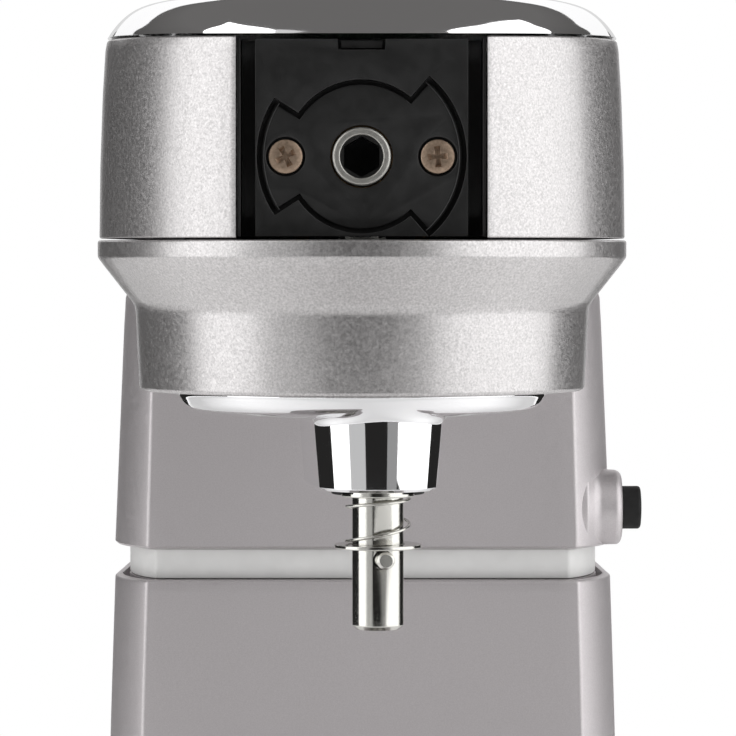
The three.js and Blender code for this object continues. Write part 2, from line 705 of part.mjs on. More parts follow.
const outlet = addGroup(head, [0, PLANET_Y, OUTLET_Z], true);
place(outlet, 'outlet_drive_sleeve', makeOutletSleeve(), steel);
const outletPhase = Math.PI / 2 + Math.PI / MITER_TEETH;
const outletMiterGear = bevelGear(MITER_TEETH, MITER_TEETH, MITER_MODULE, outletPhase, 6, 3, 5.3);
place(outlet, 'outlet_miter_gear', outletMiterGear, gearSteel);

// ---------------------------------------------------------------- planetary drive

const RING_TEETH = 40;
const PLANET_TEETH = 12;
const RING_MODULE = (2 * ORBIT) / (RING_TEETH - PLANET_TEETH);
const CROWN_TEETH = 50;
const BEVEL_TEETH = 10;
const CROWN_MODULE = 1.5;

const ringPhase = ORBIT_ANGLE;
const ringGear = internalGear(RING_TEETH, RING_MODULE, ringPhase, 259, 268.7, 50);
place(head, 'ring_gear', ringGear, gearSteel, [0, PLANET_Y, 0]);

function makeBearingPlate() {
  const disc = rod('z', 52.3, 269, 274, 0, PLANET_Y, 28);
  const upright = box(-14, 14, -34, -28, 269.5, SEAM + 12);
  return cut(
    join(disc, upright),
    rod('z', 11.3, 260, 280, 0, PLANET_Y),
    rod('y', 4.3, -40, -20, 0, COUNTER_Z),
  );
}

function makeGearBridge() {
  const legs = [-47, 47].map((x) => box(x - 3, x + 3, PLANET_Y - 9, PLANET_Y + 9, 274.3, 331));
  const deck = box(-50, 50, PLANET_Y - 15, PLANET_Y + 15, 326.2, 331);
  return cut(join(deck, ...legs), rod('z', 11.3, 320, 340, 0, PLANET_Y));
}

place(head, 'bearing_plate', makeBearingPlate(), castAlloy);
place(head, 'gear_bridge', makeGearBridge(), castAlloy);
place(head, 'lower_bearing', sleeve(11, 6.3, 268.9, 275.4), steel, [0, PLANET_Y, 0]);
place(head, 'upper_bearing', sleeve(11, 6.3, 325.9, 331.2), steel, [0, PLANET_Y, 0]);

// Outline of two equal circles and the tangents between them, one on each drive axis.
function hubOutline(radius) {
  const steps = 10;
  const points = [];
  for (const [x, y, start] of [[BEATER_X, BEATER_Y, -Math.PI / 2], [0, 0, Math.PI / 2]]) {
    for (let i = 0; i <= steps; i += 1) {
      const angle = ORBIT_ANGLE + start + (Math.PI * i) / steps;
      points.push(new THREE.Vector2(x + radius * Math.cos(angle), y + radius * Math.sin(angle)));
    }
  }
  return points;
}

function makeCarrier() {
  const disc = turned([
    [0, 246], [36, 246.3], [41.5, 246.9], [44.6, 248.3], [46.2, 250.2], [46.5, 252],
    [46.5, 256.5], [11, 256.5], [11, 262], [0, 262],
  ], 36);
  const sections = [[228.7, 14], [229.3, 14.6], [244, 15.8], [245.4, 16.6], [246.6, 19.2], [250, 19.2]];
  const hub = loft(sections.map(([z, radius]) => lift(hubOutline(radius), z)));
  return cut(
    join(disc, hub),
    rod('z', 6.3, 249, 270),
    rod('z', 9.3, 220, 262, BEATER_X, BEATER_Y),
  );
}

const planetary = addGroup(head, [0, PLANET_Y, 0]);
const crownPhase = Math.PI / 2 + Math.PI / CROWN_TEETH;
const crown = bevelGear(CROWN_TEETH, BEVEL_TEETH, CROWN_MODULE, crownPhase, 12, 6, 6.3);
const mainMiter = bevelGear(MITER_TEETH, MITER_TEETH, MITER_MODULE, -Math.PI / 2, 6, 3, 6.3);
place(planetary, 'main_shaft', rod('z', 6, 249.3, 333), steel);
place(planetary, 'crown_gear', crown, gearSteel, [0, 0, COUNTER_Z]);
place(planetary, 'main_miter_gear', mainMiter, gearSteel, [0, 0, OUTLET_Z]);
place(planetary, 'planetary_carrier', makeCarrier(), chrome);
const beaterBush = sleeve(9, BEATER_RADIUS + GAP, 229.2, 256.2);
place(planetary, 'beater_bush', beaterBush, bronze, [BEATER_X, BEATER_Y, 0]);
const shaftSeal = sleeve(11.4, BEATER_RADIUS + GAP, COLLAR_Z, 228.4);
place(planetary, 'shaft_seal', shaftSeal, rubber, [BEATER_X, BEATER_Y, 0]);

function makeBeaterShaft() {
  const profile = [
    [0, SHAFT_END], [5.3, SHAFT_END], [BEATER_RADIUS, SHAFT_END + 1.1], [BEATER_RADIUS, 268.2], [0, 268.2],
  ];
  const crossHole = rod('x', 2.5, -10, 10, 0, PIN_Z, 16).rotateZ(PIN_TURN);
  return cut(turned(profile, 24), crossHole);
}

const beater = addGroup(planetary, [BEATER_X, BEATER_Y, 0]);
const planetGear = spurGear(PLANET_TEETH, RING_MODULE, ORBIT_ANGLE, 258.2, 267.6, BEATER_RADIUS + GAP, true);
place(beater, 'beater_shaft', makeBeaterShaft(), steel);
place(beater, 'planet_pinion', planetGear, gearSteel);
place(beater, 'beater_pin', rod('x', 2.2, -10, 10, 0, PIN_Z, 16).rotateZ(PIN_TURN), steel);
place(beater, 'beater_spring', spring(7.95, 0.55, 215.8, 226.7, 2), steel);
place(beater, 'spring_washer', sleeve(10.7, BEATER_RADIUS + GAP, WASHER_Z, WASHER_Z + 1), steel);

// ---------------------------------------------------------------- countershaft and motor

const SPUR_MODULE = 0.8;
const COUNTER_TEETH = 48;
const MOTOR_TEETH = 12;

const counter = addGroup(head, [0, 0, COUNTER_Z], true);
const bevel = bevelGear(BEVEL_TEETH, CROWN_TEETH, CROWN_MODULE, -Math.PI / 2, 12, 4, 2.9);
const counterPhase = -Math.PI / 2 + Math.PI / COUNTER_TEETH;
const countershaft = join(rod('z', 2.6, -56, -30), rod('z', 4, -36, 40));
place(counter, 'countershaft', countershaft, steel);
place(counter, 'bevel_pinion', bevel.rotateX(Math.PI), gearSteel, [0, 0, PLANET_Y]);
place(counter, 'counter_gear', spurGear(COUNTER_TEETH, SPUR_MODULE, counterPhase, 20, 27, 4.3), brass);
const rearBracket = cut(
  box(-14, 14, 32, 38, TRAY_FLOOR + WALL + GAP, SEAM + 10),
  rod('y', 4.3, 30, 40, 0, COUNTER_Z),
);
place(head, 'counter_bracket', rearBracket, castAlloy);

function makeArmature() {
  const slots = 8;
  const outline = [];
  for (let i = 0; i < slots; i += 1) {
    const centre = (2 * Math.PI * i) / slots;
    for (const [radius, offset] of [[13.5, -0.24], [20, -0.24], [20, 0.24], [13.5, 0.24]]) {
      outline.push(new THREE.Vector2(radius * Math.cos(centre + offset), radius * Math.sin(centre + offset)));
    }
  }
  const core = prism(outline, 62, 104);
  const windings = turned([[0, 56], [12, 56], [16.5, 59], [16.5, 107], [12, 110], [0, 110]], 20);
  return join(core, windings, rod('z', 3, 31, 146), rod('z', 2.5, 17, 40));
}

function makeFan() {
  const hub = rod('z', 8, 134, 144);
  const disc = rod('z', 23, 134, 135.5, 0, 0, 24);
  const blades = [];
  for (let i = 0; i < 6; i += 1) {
    blades.push(box(7, 22.5, -0.7, 0.7, 135, 143).rotateZ((Math.PI * i) / 3));
  }
  return cut(join(hub, disc, ...blades), rod('z', 3.3, 130, 150));
}

function makeCan() {
  return turned([
    [3.6, CAN_FRONT], [26.5, CAN_FRONT], [MOTOR_RADIUS, CAN_FRONT + 1.5], [MOTOR_RADIUS, CAN_REAR],
    [25.5, CAN_REAR], [25.5, CAN_FRONT + 2.5], [3.6, CAN_FRONT + 2.5], [3.6, CAN_FRONT],
  ], 28);
}

function makeMagnet(middle) {
  const outline = [];
  const half = 62;
  for (let i = -3; i <= 3; i += 1) {
    const angle = degToRad(middle + (half * i) / 3);
    outline.push(new THREE.Vector2(25.1 * Math.cos(angle), 25.1 * Math.sin(angle)));
  }
  for (let i = 3; i >= -3; i -= 1) {
    const angle = degToRad(middle + (half * i) / 3);
    outline.push(new THREE.Vector2(20.9 * Math.cos(angle), 20.9 * Math.sin(angle)));
  }
  return prism(outline, 56, 110);
}

function makeBrushHolder() {
  const disc = rod('z', MOTOR_RADIUS, CAN_REAR + GAP, CAN_REAR + 5, 0, 0, 28);
  const arms = [-1, 1].map((side) => {
    const [near, far] = side > 0 ? [9.9, 20] : [-20, -9.9];
    return box(near, far, -3, 3, 116, CAN_REAR + 2);
  });
  return cut(join(disc, ...arms), rod('z', 3.6, 110, 140));
}

const motorFixed = addGroup(head, [0, 0, MOTOR_Z], true);
place(motorFixed, 'motor_can', makeCan(), steel);
place(motorFixed, 'motor_magnet_top', makeMagnet(-90), castAlloy);
place(motorFixed, 'motor_magnet_bottom', makeMagnet(90), castAlloy);
place(motorFixed, 'brush_holder', makeBrushHolder(), blackPlastic);

const motor = addGroup(head, [0, 0, MOTOR_Z], true);
place(motor, 'motor_armature', makeArmature(), copper);
place(motor, 'motor_commutator', sleeve(9.5, 3.3, 112, 123.5), copper);
const motorPinion = spurGear(MOTOR_TEETH, SPUR_MODULE, Math.PI / 2, 18.5, 28.5, 2.8, true);
place(motor, 'motor_pinion', motorPinion, gearSteel);
place(motor, 'cooling_fan', makeFan(), blackPlastic);

// ---------------------------------------------------------------- controls

const controlBoard = join(
  box(-28, 28, 156, 158, SEAM + 4, SEAM + 40), box(-20, -4, 149, 156.5, SEAM + 10, SEAM + 24),
  box(6, 20, 151, 156.5, SEAM + 18, SEAM + 32),
);
place(head, 'control_board', controlBoard, boardGreen);
const speedControl = join(
  box(47, 55, 100, 120, DIAL_Z - 10, DIAL_Z + 10),
  rod('x', 3, 54, 69, DIAL_Y, DIAL_Z, 16),
);
place(head, 'speed_control', speedControl, blackPlastic);

function makeDial() {
  const body = turned([[0, 63], [16, 63], [17, 64], [16, 73.6], [14.6, 75], [0, 75]], 24);
  const grip = box(-14, 14, -1, 1, 73, 77);
  return cut(body, grip, rod('z', 3.3, 60, 70, 0, 0, 16));
}

place(head, 'speed_dial', along('x', makeDial(), DIAL_Y, DIAL_Z), blackPlastic);

function makeButton() {
  return turned([[0, 64], [6, 64], [6, 76.8], [4.8, 78], [0, 78]], 20);
}

function makeLatchSlider() {
  const arm = rod('x', 3, 18, 63.7, LATCH_Y, LATCH_Z, 16);
  const shoulder = rod('x', 5, 61, 63.7, LATCH_Y, LATCH_Z, 16);
  const tongue = box(16, 24, LATCH_Y - 5, LATCH_Y + 5, 201, LATCH_Z + 4);
  const nose = box(12.5, 17, LATCH_Y - 5, LATCH_Y + 5, 201, 207);
  return join(arm, shoulder, tongue, nose);
}

place(head, 'tilt_button', along('x', makeButton(), LATCH_Y, LATCH_Z), rubber);
place(head, 'latch_slider', makeLatchSlider(), steel);
place(head, 'button_spring', along('x', spring(4.4, 0.45, 44.4, 60.7, 4), LATCH_Y, LATCH_Z), steel);

export default mixer;
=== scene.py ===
"""Looks of a tilt-head stand mixer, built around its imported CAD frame. Shapes are written in millimetres."""
import json
import math

import bmesh
import bpy
from mathutils import Matrix, Vector


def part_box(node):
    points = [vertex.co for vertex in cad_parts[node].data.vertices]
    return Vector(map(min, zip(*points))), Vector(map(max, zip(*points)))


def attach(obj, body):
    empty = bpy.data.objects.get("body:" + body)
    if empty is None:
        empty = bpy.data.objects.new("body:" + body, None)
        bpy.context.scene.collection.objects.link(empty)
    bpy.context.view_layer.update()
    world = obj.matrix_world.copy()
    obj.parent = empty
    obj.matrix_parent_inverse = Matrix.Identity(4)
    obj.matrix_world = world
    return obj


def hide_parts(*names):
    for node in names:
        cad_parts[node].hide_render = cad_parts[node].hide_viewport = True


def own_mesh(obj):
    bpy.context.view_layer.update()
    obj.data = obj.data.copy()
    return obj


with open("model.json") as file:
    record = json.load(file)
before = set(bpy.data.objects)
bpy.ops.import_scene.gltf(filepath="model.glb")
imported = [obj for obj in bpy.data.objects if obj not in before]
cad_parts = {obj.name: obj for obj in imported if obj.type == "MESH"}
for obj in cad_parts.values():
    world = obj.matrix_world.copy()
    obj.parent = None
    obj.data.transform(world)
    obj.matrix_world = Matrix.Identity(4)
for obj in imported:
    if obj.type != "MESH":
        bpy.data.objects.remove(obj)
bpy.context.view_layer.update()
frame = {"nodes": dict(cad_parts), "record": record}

MM = 0.001

# ------------------------------------------------------------------ places taken from the frame

JOINTS = {joint["name"]: joint for joint in frame["record"]["behaviour"]["joints"]}


def joint_mm(name):
    return [value / MM for value in JOINTS[name]["pos_m"]]


def box_mm(node):
    return [[float(value) / MM for value in corner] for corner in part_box(node)]


PLANET_Y = joint_mm("planetary_spin")[1]
BEATER_X, BEATER_Y, _ = joint_mm("beater_spin")
OUTLET_Z = joint_mm("outlet_spin")[2]
_, HINGE_Y, HINGE_Z = joint_mm("head_tilt")
_, DIAL_Y, DIAL_Z = joint_mm("speed_dial_turn")
HEAD_REAR = box_mm("lower_housing")[1][1]
SEAM = box_mm("upper_housing")[0][2] - 0.2
CUP_BOTTOM = box_mm("lower_housing")[0][2]
NECK_LOW, NECK_HIGH = box_mm("neck_shell")
NECK_BOTTOM = NECK_LOW[2] + 7.3
COLUMN_LOW = box_mm("column")[0]
COLUMN_TOP = 196.0
BARREL_RADIUS = 13.5
KNUCKLE_X = 34
BASE_LOW, BASE_HIGH = box_mm("base")
CARRIER_BOTTOM = box_mm("planetary_carrier")[0][2]
BUTTON_LOW, BUTTON_HIGH = box_mm("tilt_button")
LATCH_Y = (BUTTON_LOW[1] + BUTTON_HIGH[1]) / 2
LATCH_Z = (BUTTON_LOW[2] + BUTTON_HIGH[2]) / 2
PANEL_LOW, PANEL_HIGH = box_mm("outlet_bezel")
PLATE_FACE = box_mm("outlet_bayonet_plate")[0][1]

HEAD_HALF = 66.5
HEAD_TAPER = 0.12
TAIL_LENGTH = 60
COVER_EDGE = 340
COVER_DIP = 2

# ------------------------------------------------------------------ mesh helpers


def finish_mesh(obj, sharp=35):
    mesh = obj.data
    mesh.polygons.foreach_set("use_smooth", [True] * len(mesh.polygons))
    mesh.set_sharp_from_angle(angle=math.radians(sharp))
    mesh.update()
    return obj


def mesh_object(name, vertices, faces, sharp=35):
    mesh = bpy.data.meshes.new(name)
    mesh.from_pydata([tuple(c * MM for c in v) for v in vertices], [], faces)
    work = bmesh.new()
    work.from_mesh(mesh)
    bmesh.ops.remove_doubles(work, verts=work.verts, dist=2e-7)
    bmesh.ops.dissolve_degenerate(work, edges=work.edges, dist=1e-7)
    bmesh.ops.recalc_face_normals(work, faces=work.faces)
    work.to_mesh(mesh)
    work.free()
    obj = bpy.data.objects.new(name, mesh)
    bpy.context.scene.collection.objects.link(obj)
    return finish_mesh(obj, sharp)


def grid_object(name, rows, wrap_rows=False, wrap_columns=True, sharp=35, caps=True):
    """A skin over rows of points. Open ends are closed with flat faces, unless caps is off."""
    count = len(rows[0])
    vertices = [point for row in rows for point in row]
    faces = []
    for r in range(len(rows) if wrap_rows else len(rows) - 1):
        low, high = r * count, (r + 1) % len(rows) * count
        for c in range(count if wrap_columns else count - 1):
            right = (c + 1) % count
            faces.append((low + c, low + right, high + right, high + c))
    if caps and not wrap_rows:
        faces.append(tuple(range(count)))
        faces.append(tuple((len(rows) - 1) * count + c for c in range(count)))
    if not wrap_columns:
        faces.append(tuple(r * count for r in range(len(rows))))
        faces.append(tuple(r * count + count - 1 for r in range(len(rows))))
    return mesh_object(name, vertices, faces, sharp)


def rounded(corners, closed=False, steps=6):
    """A path through corners given as (a, b, radius), each corner rounded by its own radius."""
    points = []
    last = len(corners) - 1
    for i, (a, b, radius) in enumerate(corners):
        corner = Vector((a, b))
        if radius <= 0 or (not closed and i in (0, last)):
            points.append(corner)
            continue
        before = Vector(corners[i - 1][:2]) - corner
        after = Vector(corners[(i + 1) % len(corners)][:2]) - corner
        half = before.angle(after) / 2
        reach = min(radius / math.tan(half), 0.48 * before.length, 0.48 * after.length)
        start = corner + before.normalized() * reach
        end = corner + after.normalized() * reach
        for k in range(steps + 1):
            t = k / steps
            weight = math.cos(math.pi / 2 - half) * (1 - t) * t * 2
            total = (1 - t) ** 2 + weight + t ** 2
            points.append((start * (1 - t) ** 2 + corner * weight + end * t ** 2) / total)
    return points


def smooth_path(points, steps):
    """A Catmull-Rom curve through the points."""
    vectors = [Vector(p) for p in points]
    path = []
    for i in range(len(vectors) - 1):
        p0 = vectors[max(i - 1, 0)]
        p1, p2 = vectors[i], vectors[i + 1]
        p3 = vectors[min(i + 2, len(vectors) - 1)]
        for k in range(steps):
            t = k / steps
            path.append(0.5 * (2 * p1 + (p2 - p0) * t + (2 * p0 - 5 * p1 + 4 * p2 - p3) * t ** 2
                               + (3 * p1 - p0 - 3 * p2 + p3) * t ** 3))
    path.append(vectors[-1])
    return path


def lay(point, axis, a, b):
    """Turns a point built about Z so that its axis lies along X, Y or Z, through (a, b)."""
    x, y, z = point
    if axis == "x":
        return (z, y + a, x + b)
    if axis == "y":
        return (x + a, z, y + b)
    return (x + a, y + b, z)


def lathe(name, profile, axis="z", a=0, b=0, segments=96, closed=False, sharp=35):
    rows = []
    for radius, height in profile:
        ring = []
        for k in range(segments):
            angle = 2 * math.pi * k / segments
            ring.append(lay((radius * math.cos(angle), radius * math.sin(angle), height), axis, a, b))
        rows.append(ring)
    return grid_object(name, rows, wrap_rows=closed, sharp=sharp)


def prism(name, outline, low, high, axis="z", a=0, b=0, sharp=35):
    rows = [[lay((x, y, z), axis, a, b) for x, y in outline] for z in (low, high)]
    return grid_object(name, rows, sharp=sharp)


def block(name, x0, x1, y0, y1, z0, z1):
    return prism(name, [(x0, y0), (x1, y0), (x1, y1), (x0, y1)], z0, z1)


def tube(name, path, radius, sides=12, sharp=60):
    """A round wire along a path, with flat ends."""
    points = [Vector(p) for p in path]
    rows = []
    side = None
    for i, point in enumerate(points):
        along = (points[min(i + 1, len(points) - 1)] - points[max(i - 1, 0)]).normalized()
        if side is None:
            side = along.orthogonal().normalized()
        side = (side - along * side.dot(along)).normalized()
        up = along.cross(side)
        ring = []
        for k in range(sides):
            angle = 2 * math.pi * k / sides
            ring.append(point + (side * math.cos(angle) + up * math.sin(angle)) * radius)
        rows.append(ring)
    return grid_object(name, rows, sharp=sharp)


def apply_modifiers(obj, sharp=35):
    graph = bpy.context.evaluated_depsgraph_get()
    mesh = bpy.data.meshes.new_from_object(obj.evaluated_get(graph))
    obj.modifiers.clear()
    obj.data = mesh
    return finish_mesh(obj, sharp)


def combine(obj, others, operation="DIFFERENCE", sharp=35):
    for other in others:
        modifier = obj.modifiers.new("boolean", "BOOLEAN")
        modifier.solver = "EXACT"
        modifier.operation = operation
        modifier.object = other
    apply_modifiers(obj, sharp)
    for other in others:
        bpy.data.objects.remove(other)
    return obj


def soften(obj, width, segments=3, angle=40, sharp=50):
    modifier = obj.modifiers.new("bevel", "BEVEL")
    modifier.width = width * MM
    modifier.segments = segments
    modifier.limit_method = "ANGLE"
    modifier.angle_limit = math.radians(angle)
    modifier.harden_normals = False
    return apply_modifiers(obj, sharp)


def merge(obj, others):
    """Puts several meshes into one piece."""
    work = bmesh.new()
    work.from_mesh(obj.data)
    for other in others:
        work.from_mesh(other.data)
        bpy.data.objects.remove(other)
    work.to_mesh(obj.data)
    work.free()
    return finish_mesh(obj)


# ------------------------------------------------------------------ material helpers


class Shader:
    """A Principled material with small helpers for its procedural detail."""

    def __init__(self, name, color, metallic, roughness, coat=0, coat_roughness=0.1, specular=0.5):
        self.material = bpy.data.materials.new(name)
        self.material.use_nodes = True
        self.tree = self.material.node_tree
        self.surface = self.tree.nodes["Principled BSDF"]
        self.surface.inputs["Base Color"].default_value = (*color, 1)
        self.surface.inputs["Metallic"].default_value = metallic
        self.surface.inputs["Roughness"].default_value = roughness
        self.surface.inputs["Coat Weight"].default_value = coat
        self.surface.inputs["Coat Roughness"].default_value = coat_roughness
        self.surface.inputs["Specular IOR Level"].default_value = specular
        self.place = self.add("ShaderNodeTexCoord").outputs["Object"]
        self.bumps = None

    def add(self, kind, **settings):
        node = self.tree.nodes.new(kind)
        for key, value in settings.items():
            setattr(node, key, value)
        return node

    def link(self, output, socket):
        self.tree.links.new(output, socket)

    def scaled(self, scale):
        mapping = self.add("ShaderNodeMapping")
        mapping.inputs["Scale"].default_value = scale
        self.link(self.place, mapping.inputs["Vector"])
        return mapping.outputs["Vector"]

    def noise(self, size, detail=2, stretch=(1, 1, 1), roughness=0.5):
        """Noise whose features are about size millimetres across."""
        node = self.add("ShaderNodeTexNoise")
        node.inputs["Scale"].default_value = 1
        node.inputs["Detail"].default_value = detail
        node.inputs["Roughness"].default_value = roughness
        self.link(self.scaled([s / (size * MM) for s in stretch]), node.inputs["Vector"])
        return node.outputs["Fac"]

    def ramp(self, value, low, high, start=0.3, end=0.7):
        node = self.add("ShaderNodeValToRGB")
        node.color_ramp.elements[0].position = start
        node.color_ramp.elements[1].position = end
        node.color_ramp.elements[0].color = (*low, 1)
        node.color_ramp.elements[1].color = (*high, 1)
        self.link(value, node.inputs["Fac"])
        return node.outputs["Color"]

    def span(self, value, low, high, start=0.3, end=0.7):
        node = self.add("ShaderNodeMapRange")
        for key, number in (("From Min", start), ("From Max", end), ("To Min", low), ("To Max", high)):
            node.inputs[key].default_value = number
        self.link(value, node.inputs["Value"])
        return node.outputs["Result"]

    def color(self, output):
        self.link(output, self.surface.inputs["Base Color"])

    def rough(self, output):
        self.link(output, self.surface.inputs["Roughness"])

    def bump(self, value, depth, strength=1.0):
        node = self.add("ShaderNodeBump")
        node.inputs["Distance"].default_value = depth * MM
        node.inputs["Strength"].default_value = strength
        self.link(value, node.inputs["Height"])
        if self.bumps:
            self.link(self.bumps, node.inputs["Normal"])
        self.bumps = node.outputs["Normal"]
        self.link(self.bumps, self.surface.inputs["Normal"])


def flake_paint():
    paint = Shader("silver_flake_paint", (0.4, 0.39, 0.39), 0.86, 0.34, coat=0.25, coat_roughness=0.12)
    grain = paint.noise(0.55, detail=3, roughness=0.75)
    paint.color(paint.ramp(grain, (0.43, 0.42, 0.42), (0.72, 0.70, 0.70), 0.32, 0.68))
    paint.rough(paint.span(paint.noise(0.9, detail=2), 0.28, 0.42))
    paint.bump(grain, 0.02, 0.55)
    paint.bump(paint.noise(14, detail=1), 0.02, 0.25)
    return paint.material


def satin_paint():
    paint = Shader("satin_grey_paint", (0.6, 0.57, 0.58), 0.85, 0.5, coat=0.1, coat_roughness=0.3)
    grain = paint.noise(0.4, detail=2, roughness=0.7)
    paint.color(paint.ramp(grain, (0.57, 0.54, 0.55), (0.64, 0.61, 0.62)))
    paint.rough(paint.span(paint.noise(1.2), 0.46, 0.54))
    paint.bump(grain, 0.008, 0.3)
    return paint.material


def chrome_plate():
    metal = Shader("polished_chrome", (0.87, 0.87, 0.88), 1.0, 0.035)
    metal.rough(metal.span(metal.noise(9, detail=4), 0.025, 0.07))
    metal.bump(metal.noise(30, detail=1), 0.04, 0.12)
    return metal.material


def turned_steel(name, color, stretch, rough=(0.16, 0.30), size=0.25):
    metal = Shader(name, color, 1.0, 0.22)
    lines = metal.noise(size, detail=3, stretch=stretch, roughness=0.7)
    tone = tuple(c * 0.78 for c in color)
    metal.color(metal.ramp(lines, tone, color))
    metal.rough(metal.span(metal.noise(0.6, detail=2), *rough))
    metal.bump(lines, 0.012, 0.6)
    return metal.material


def moulded(name, color, rough=(0.30, 0.42), grain=0.35, depth=0.012, specular=0.5, light=1.25):
    plastic = Shader(name, color, 0.0, 0.36, specular=specular)
    texture = plastic.noise(grain, detail=2, roughness=0.6)
    pale = tuple(c * light + 0.002 for c in color)
    plastic.color(plastic.ramp(plastic.noise(6, detail=3), color, pale))
    plastic.rough(plastic.span(plastic.noise(2.5, detail=3), *rough))
    plastic.bump(texture, depth, 0.6)
    return plastic.material


def plated_screw():
    metal = Shader("bronze_plated_steel", (0.46, 0.33, 0.24), 0.75, 0.38)
    stain = metal.noise(0.7, detail=4, roughness=0.7)
    metal.color(metal.ramp(stain, (0.36, 0.26, 0.19), (0.56, 0.42, 0.31)))
    metal.rough(metal.span(stain, 0.30, 0.46))
    metal.bump(stain, 0.02, 0.5)
    return metal.material


MATERIALS = {
    "silver_paint": flake_paint(),
    "satin_paint": satin_paint(),
    "chrome": chrome_plate(),
    "steel": turned_steel("turned_steel", (0.72, 0.71, 0.67), (1, 1, 12), (0.08, 0.17)),
    "satin_steel": turned_steel("satin_turned_steel", (0.66, 0.65, 0.61), (1, 12, 1), (0.38, 0.48)),
    "gear_steel": turned_steel("sintered_gear_steel", (0.30, 0.30, 0.31), (1, 1, 1), (0.3, 0.45), 0.6),
    "screw_steel": plated_screw(),
    "brass": turned_steel("cut_brass", (0.62, 0.44, 0.18), (1, 1, 1), (0.25, 0.4), 0.6),
    "bronze": turned_steel("sintered_bronze", (0.36, 0.24, 0.13), (1, 1, 1), (0.35, 0.5), 0.8),
    "copper": turned_steel("enamelled_copper", (0.48, 0.20, 0.09), (6, 6, 1), (0.25, 0.4), 0.5),
    "cast_alloy": turned_steel("cast_alloy", (0.46, 0.46, 0.47), (1, 1, 1), (0.45, 0.6), 1.2),
    "ferrite": moulded("sintered_ferrite", (0.05, 0.05, 0.052), (0.5, 0.7), 0.8, 0.03),
    "black_plastic": moulded("moulded_black_plastic", (0.018, 0.018, 0.018)),
    "pale_plastic": moulded("moulded_pale_plastic", (0.80, 0.80, 0.79), (0.42, 0.52), 0.5, 0.006,
                            light=1.06),
    "rubber": moulded("moulded_rubber", (0.014, 0.014, 0.014), (0.62, 0.78), 0.5, 0.03, 0.3),
    "board": moulded("printed_board", (0.03, 0.10, 0.045), (0.35, 0.5), 1.0, 0.02),
}


def piece(obj, body, slot, *nodes, material=None):
    """Gives a finished mesh the material of its slot and its body, and hides the CAD nodes it stands for."""
    obj.data.materials.clear()
    obj.data.materials.append(material or MATERIALS[slot])
    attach(obj, body)
    if nodes:
        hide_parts(*nodes)
    return obj


# ------------------------------------------------------------------ plan outlines


def taper(y):
    return 1 - HEAD_TAPER * ((y - PLANET_Y) / (HEAD_REAR - PLANET_Y)) ** 2


def head_outline(half, opening=0):
    """Round nose, tapering sides, elliptical tail; open at the nose by a half-width, or closed."""
    rear = HEAD_REAR - HEAD_HALF + half
    tail = rear - TAIL_LENGTH * half / HEAD_HALF
    start = math.asin(min(1, opening / half)) if half > 0 else 0
    quarter, side, tail_steps = 44, 14, 64
    right = []
    for k in range(quarter):
        angle = -math.pi / 2 + start + (math.pi / 2 - start) * k / quarter
        right.append((half * math.cos(angle), PLANET_Y + half * math.sin(angle)))
    for k in range(side):
        y = PLANET_Y + (tail - PLANET_Y) * k / side
        right.append((half * taper(y), y))
    for k in range(tail_steps // 2):
        angle = math.pi * k / tail_steps
        right.append((half * taper(tail) * math.cos(angle), tail + (rear - tail) * math.sin(angle)))
    left = [(-x, y) for x, y in reversed(right)]
    points = right + [(0, rear)] + left
    return points if opening else points[:-1]


def stand_outline(half, crease, front, rear, steps=12):
    """Flat front between two creases, curved flanks, round rear corners."""
    depth, corner, narrowing = 24, 28, 1.5
    start, bend, end = Vector((crease, front)), Vector((half - 1.2, front + 0.4 * depth)), Vector((half,
        front + depth))
    flank = []
    for k in range(1, steps + 1):
        t = k / steps
        flank.append(start * (1 - t) ** 2 + bend * 2 * t * (1 - t) + end * t * t)
    edge = rounded([(crease - 6, front, 0), (crease, front, 1.6), (*flank[0], 0)], steps=5)
    right = edge + flank[1:]
    for k in range(steps + 1):
        angle = math.pi / 2 * k / steps
        x = half - narrowing - corner * (1 - math.cos(angle))
        right.append(Vector((x, rear - corner * (1 - math.sin(angle)))))
    return right + [Vector((-p.x, p.y)) for p in reversed(right)]


def base_outline(inset):
    low, high = BASE_LOW[1], BASE_HIGH[1]
    front = BASE_HIGH[0]
    rear_half, rear_start = 80, 100
    points = []
    for k in range(30):
        y = PLANET_Y + (rear_start - PLANET_Y) * k / 30
        t = min(1, max(0, (y - PLANET_Y) / (40 - PLANET_Y)))
        points.append((front - (front - rear_half) * t * t * (3 - 2 * t) - inset, y))
    for k in range(33):
        angle = math.pi / 2 * k / 32
        points.append(((rear_half - inset) * math.cos(angle),
                       rear_start + (high - rear_start - inset) * math.sin(angle)))
    points += [(-x, y) for x, y in reversed(points[:-1])]
    radius = PLANET_Y - low - inset
    for k in range(1, 90):
        angle = math.pi + math.pi * k / 90
        points.append((radius * math.cos(angle), PLANET_Y + radius * math.sin(angle)))
    return points


# ------------------------------------------------------------------ head


def nose_dip(y):
    return COVER_DIP * max(0, (PLANET_Y - y) / 64) ** 2


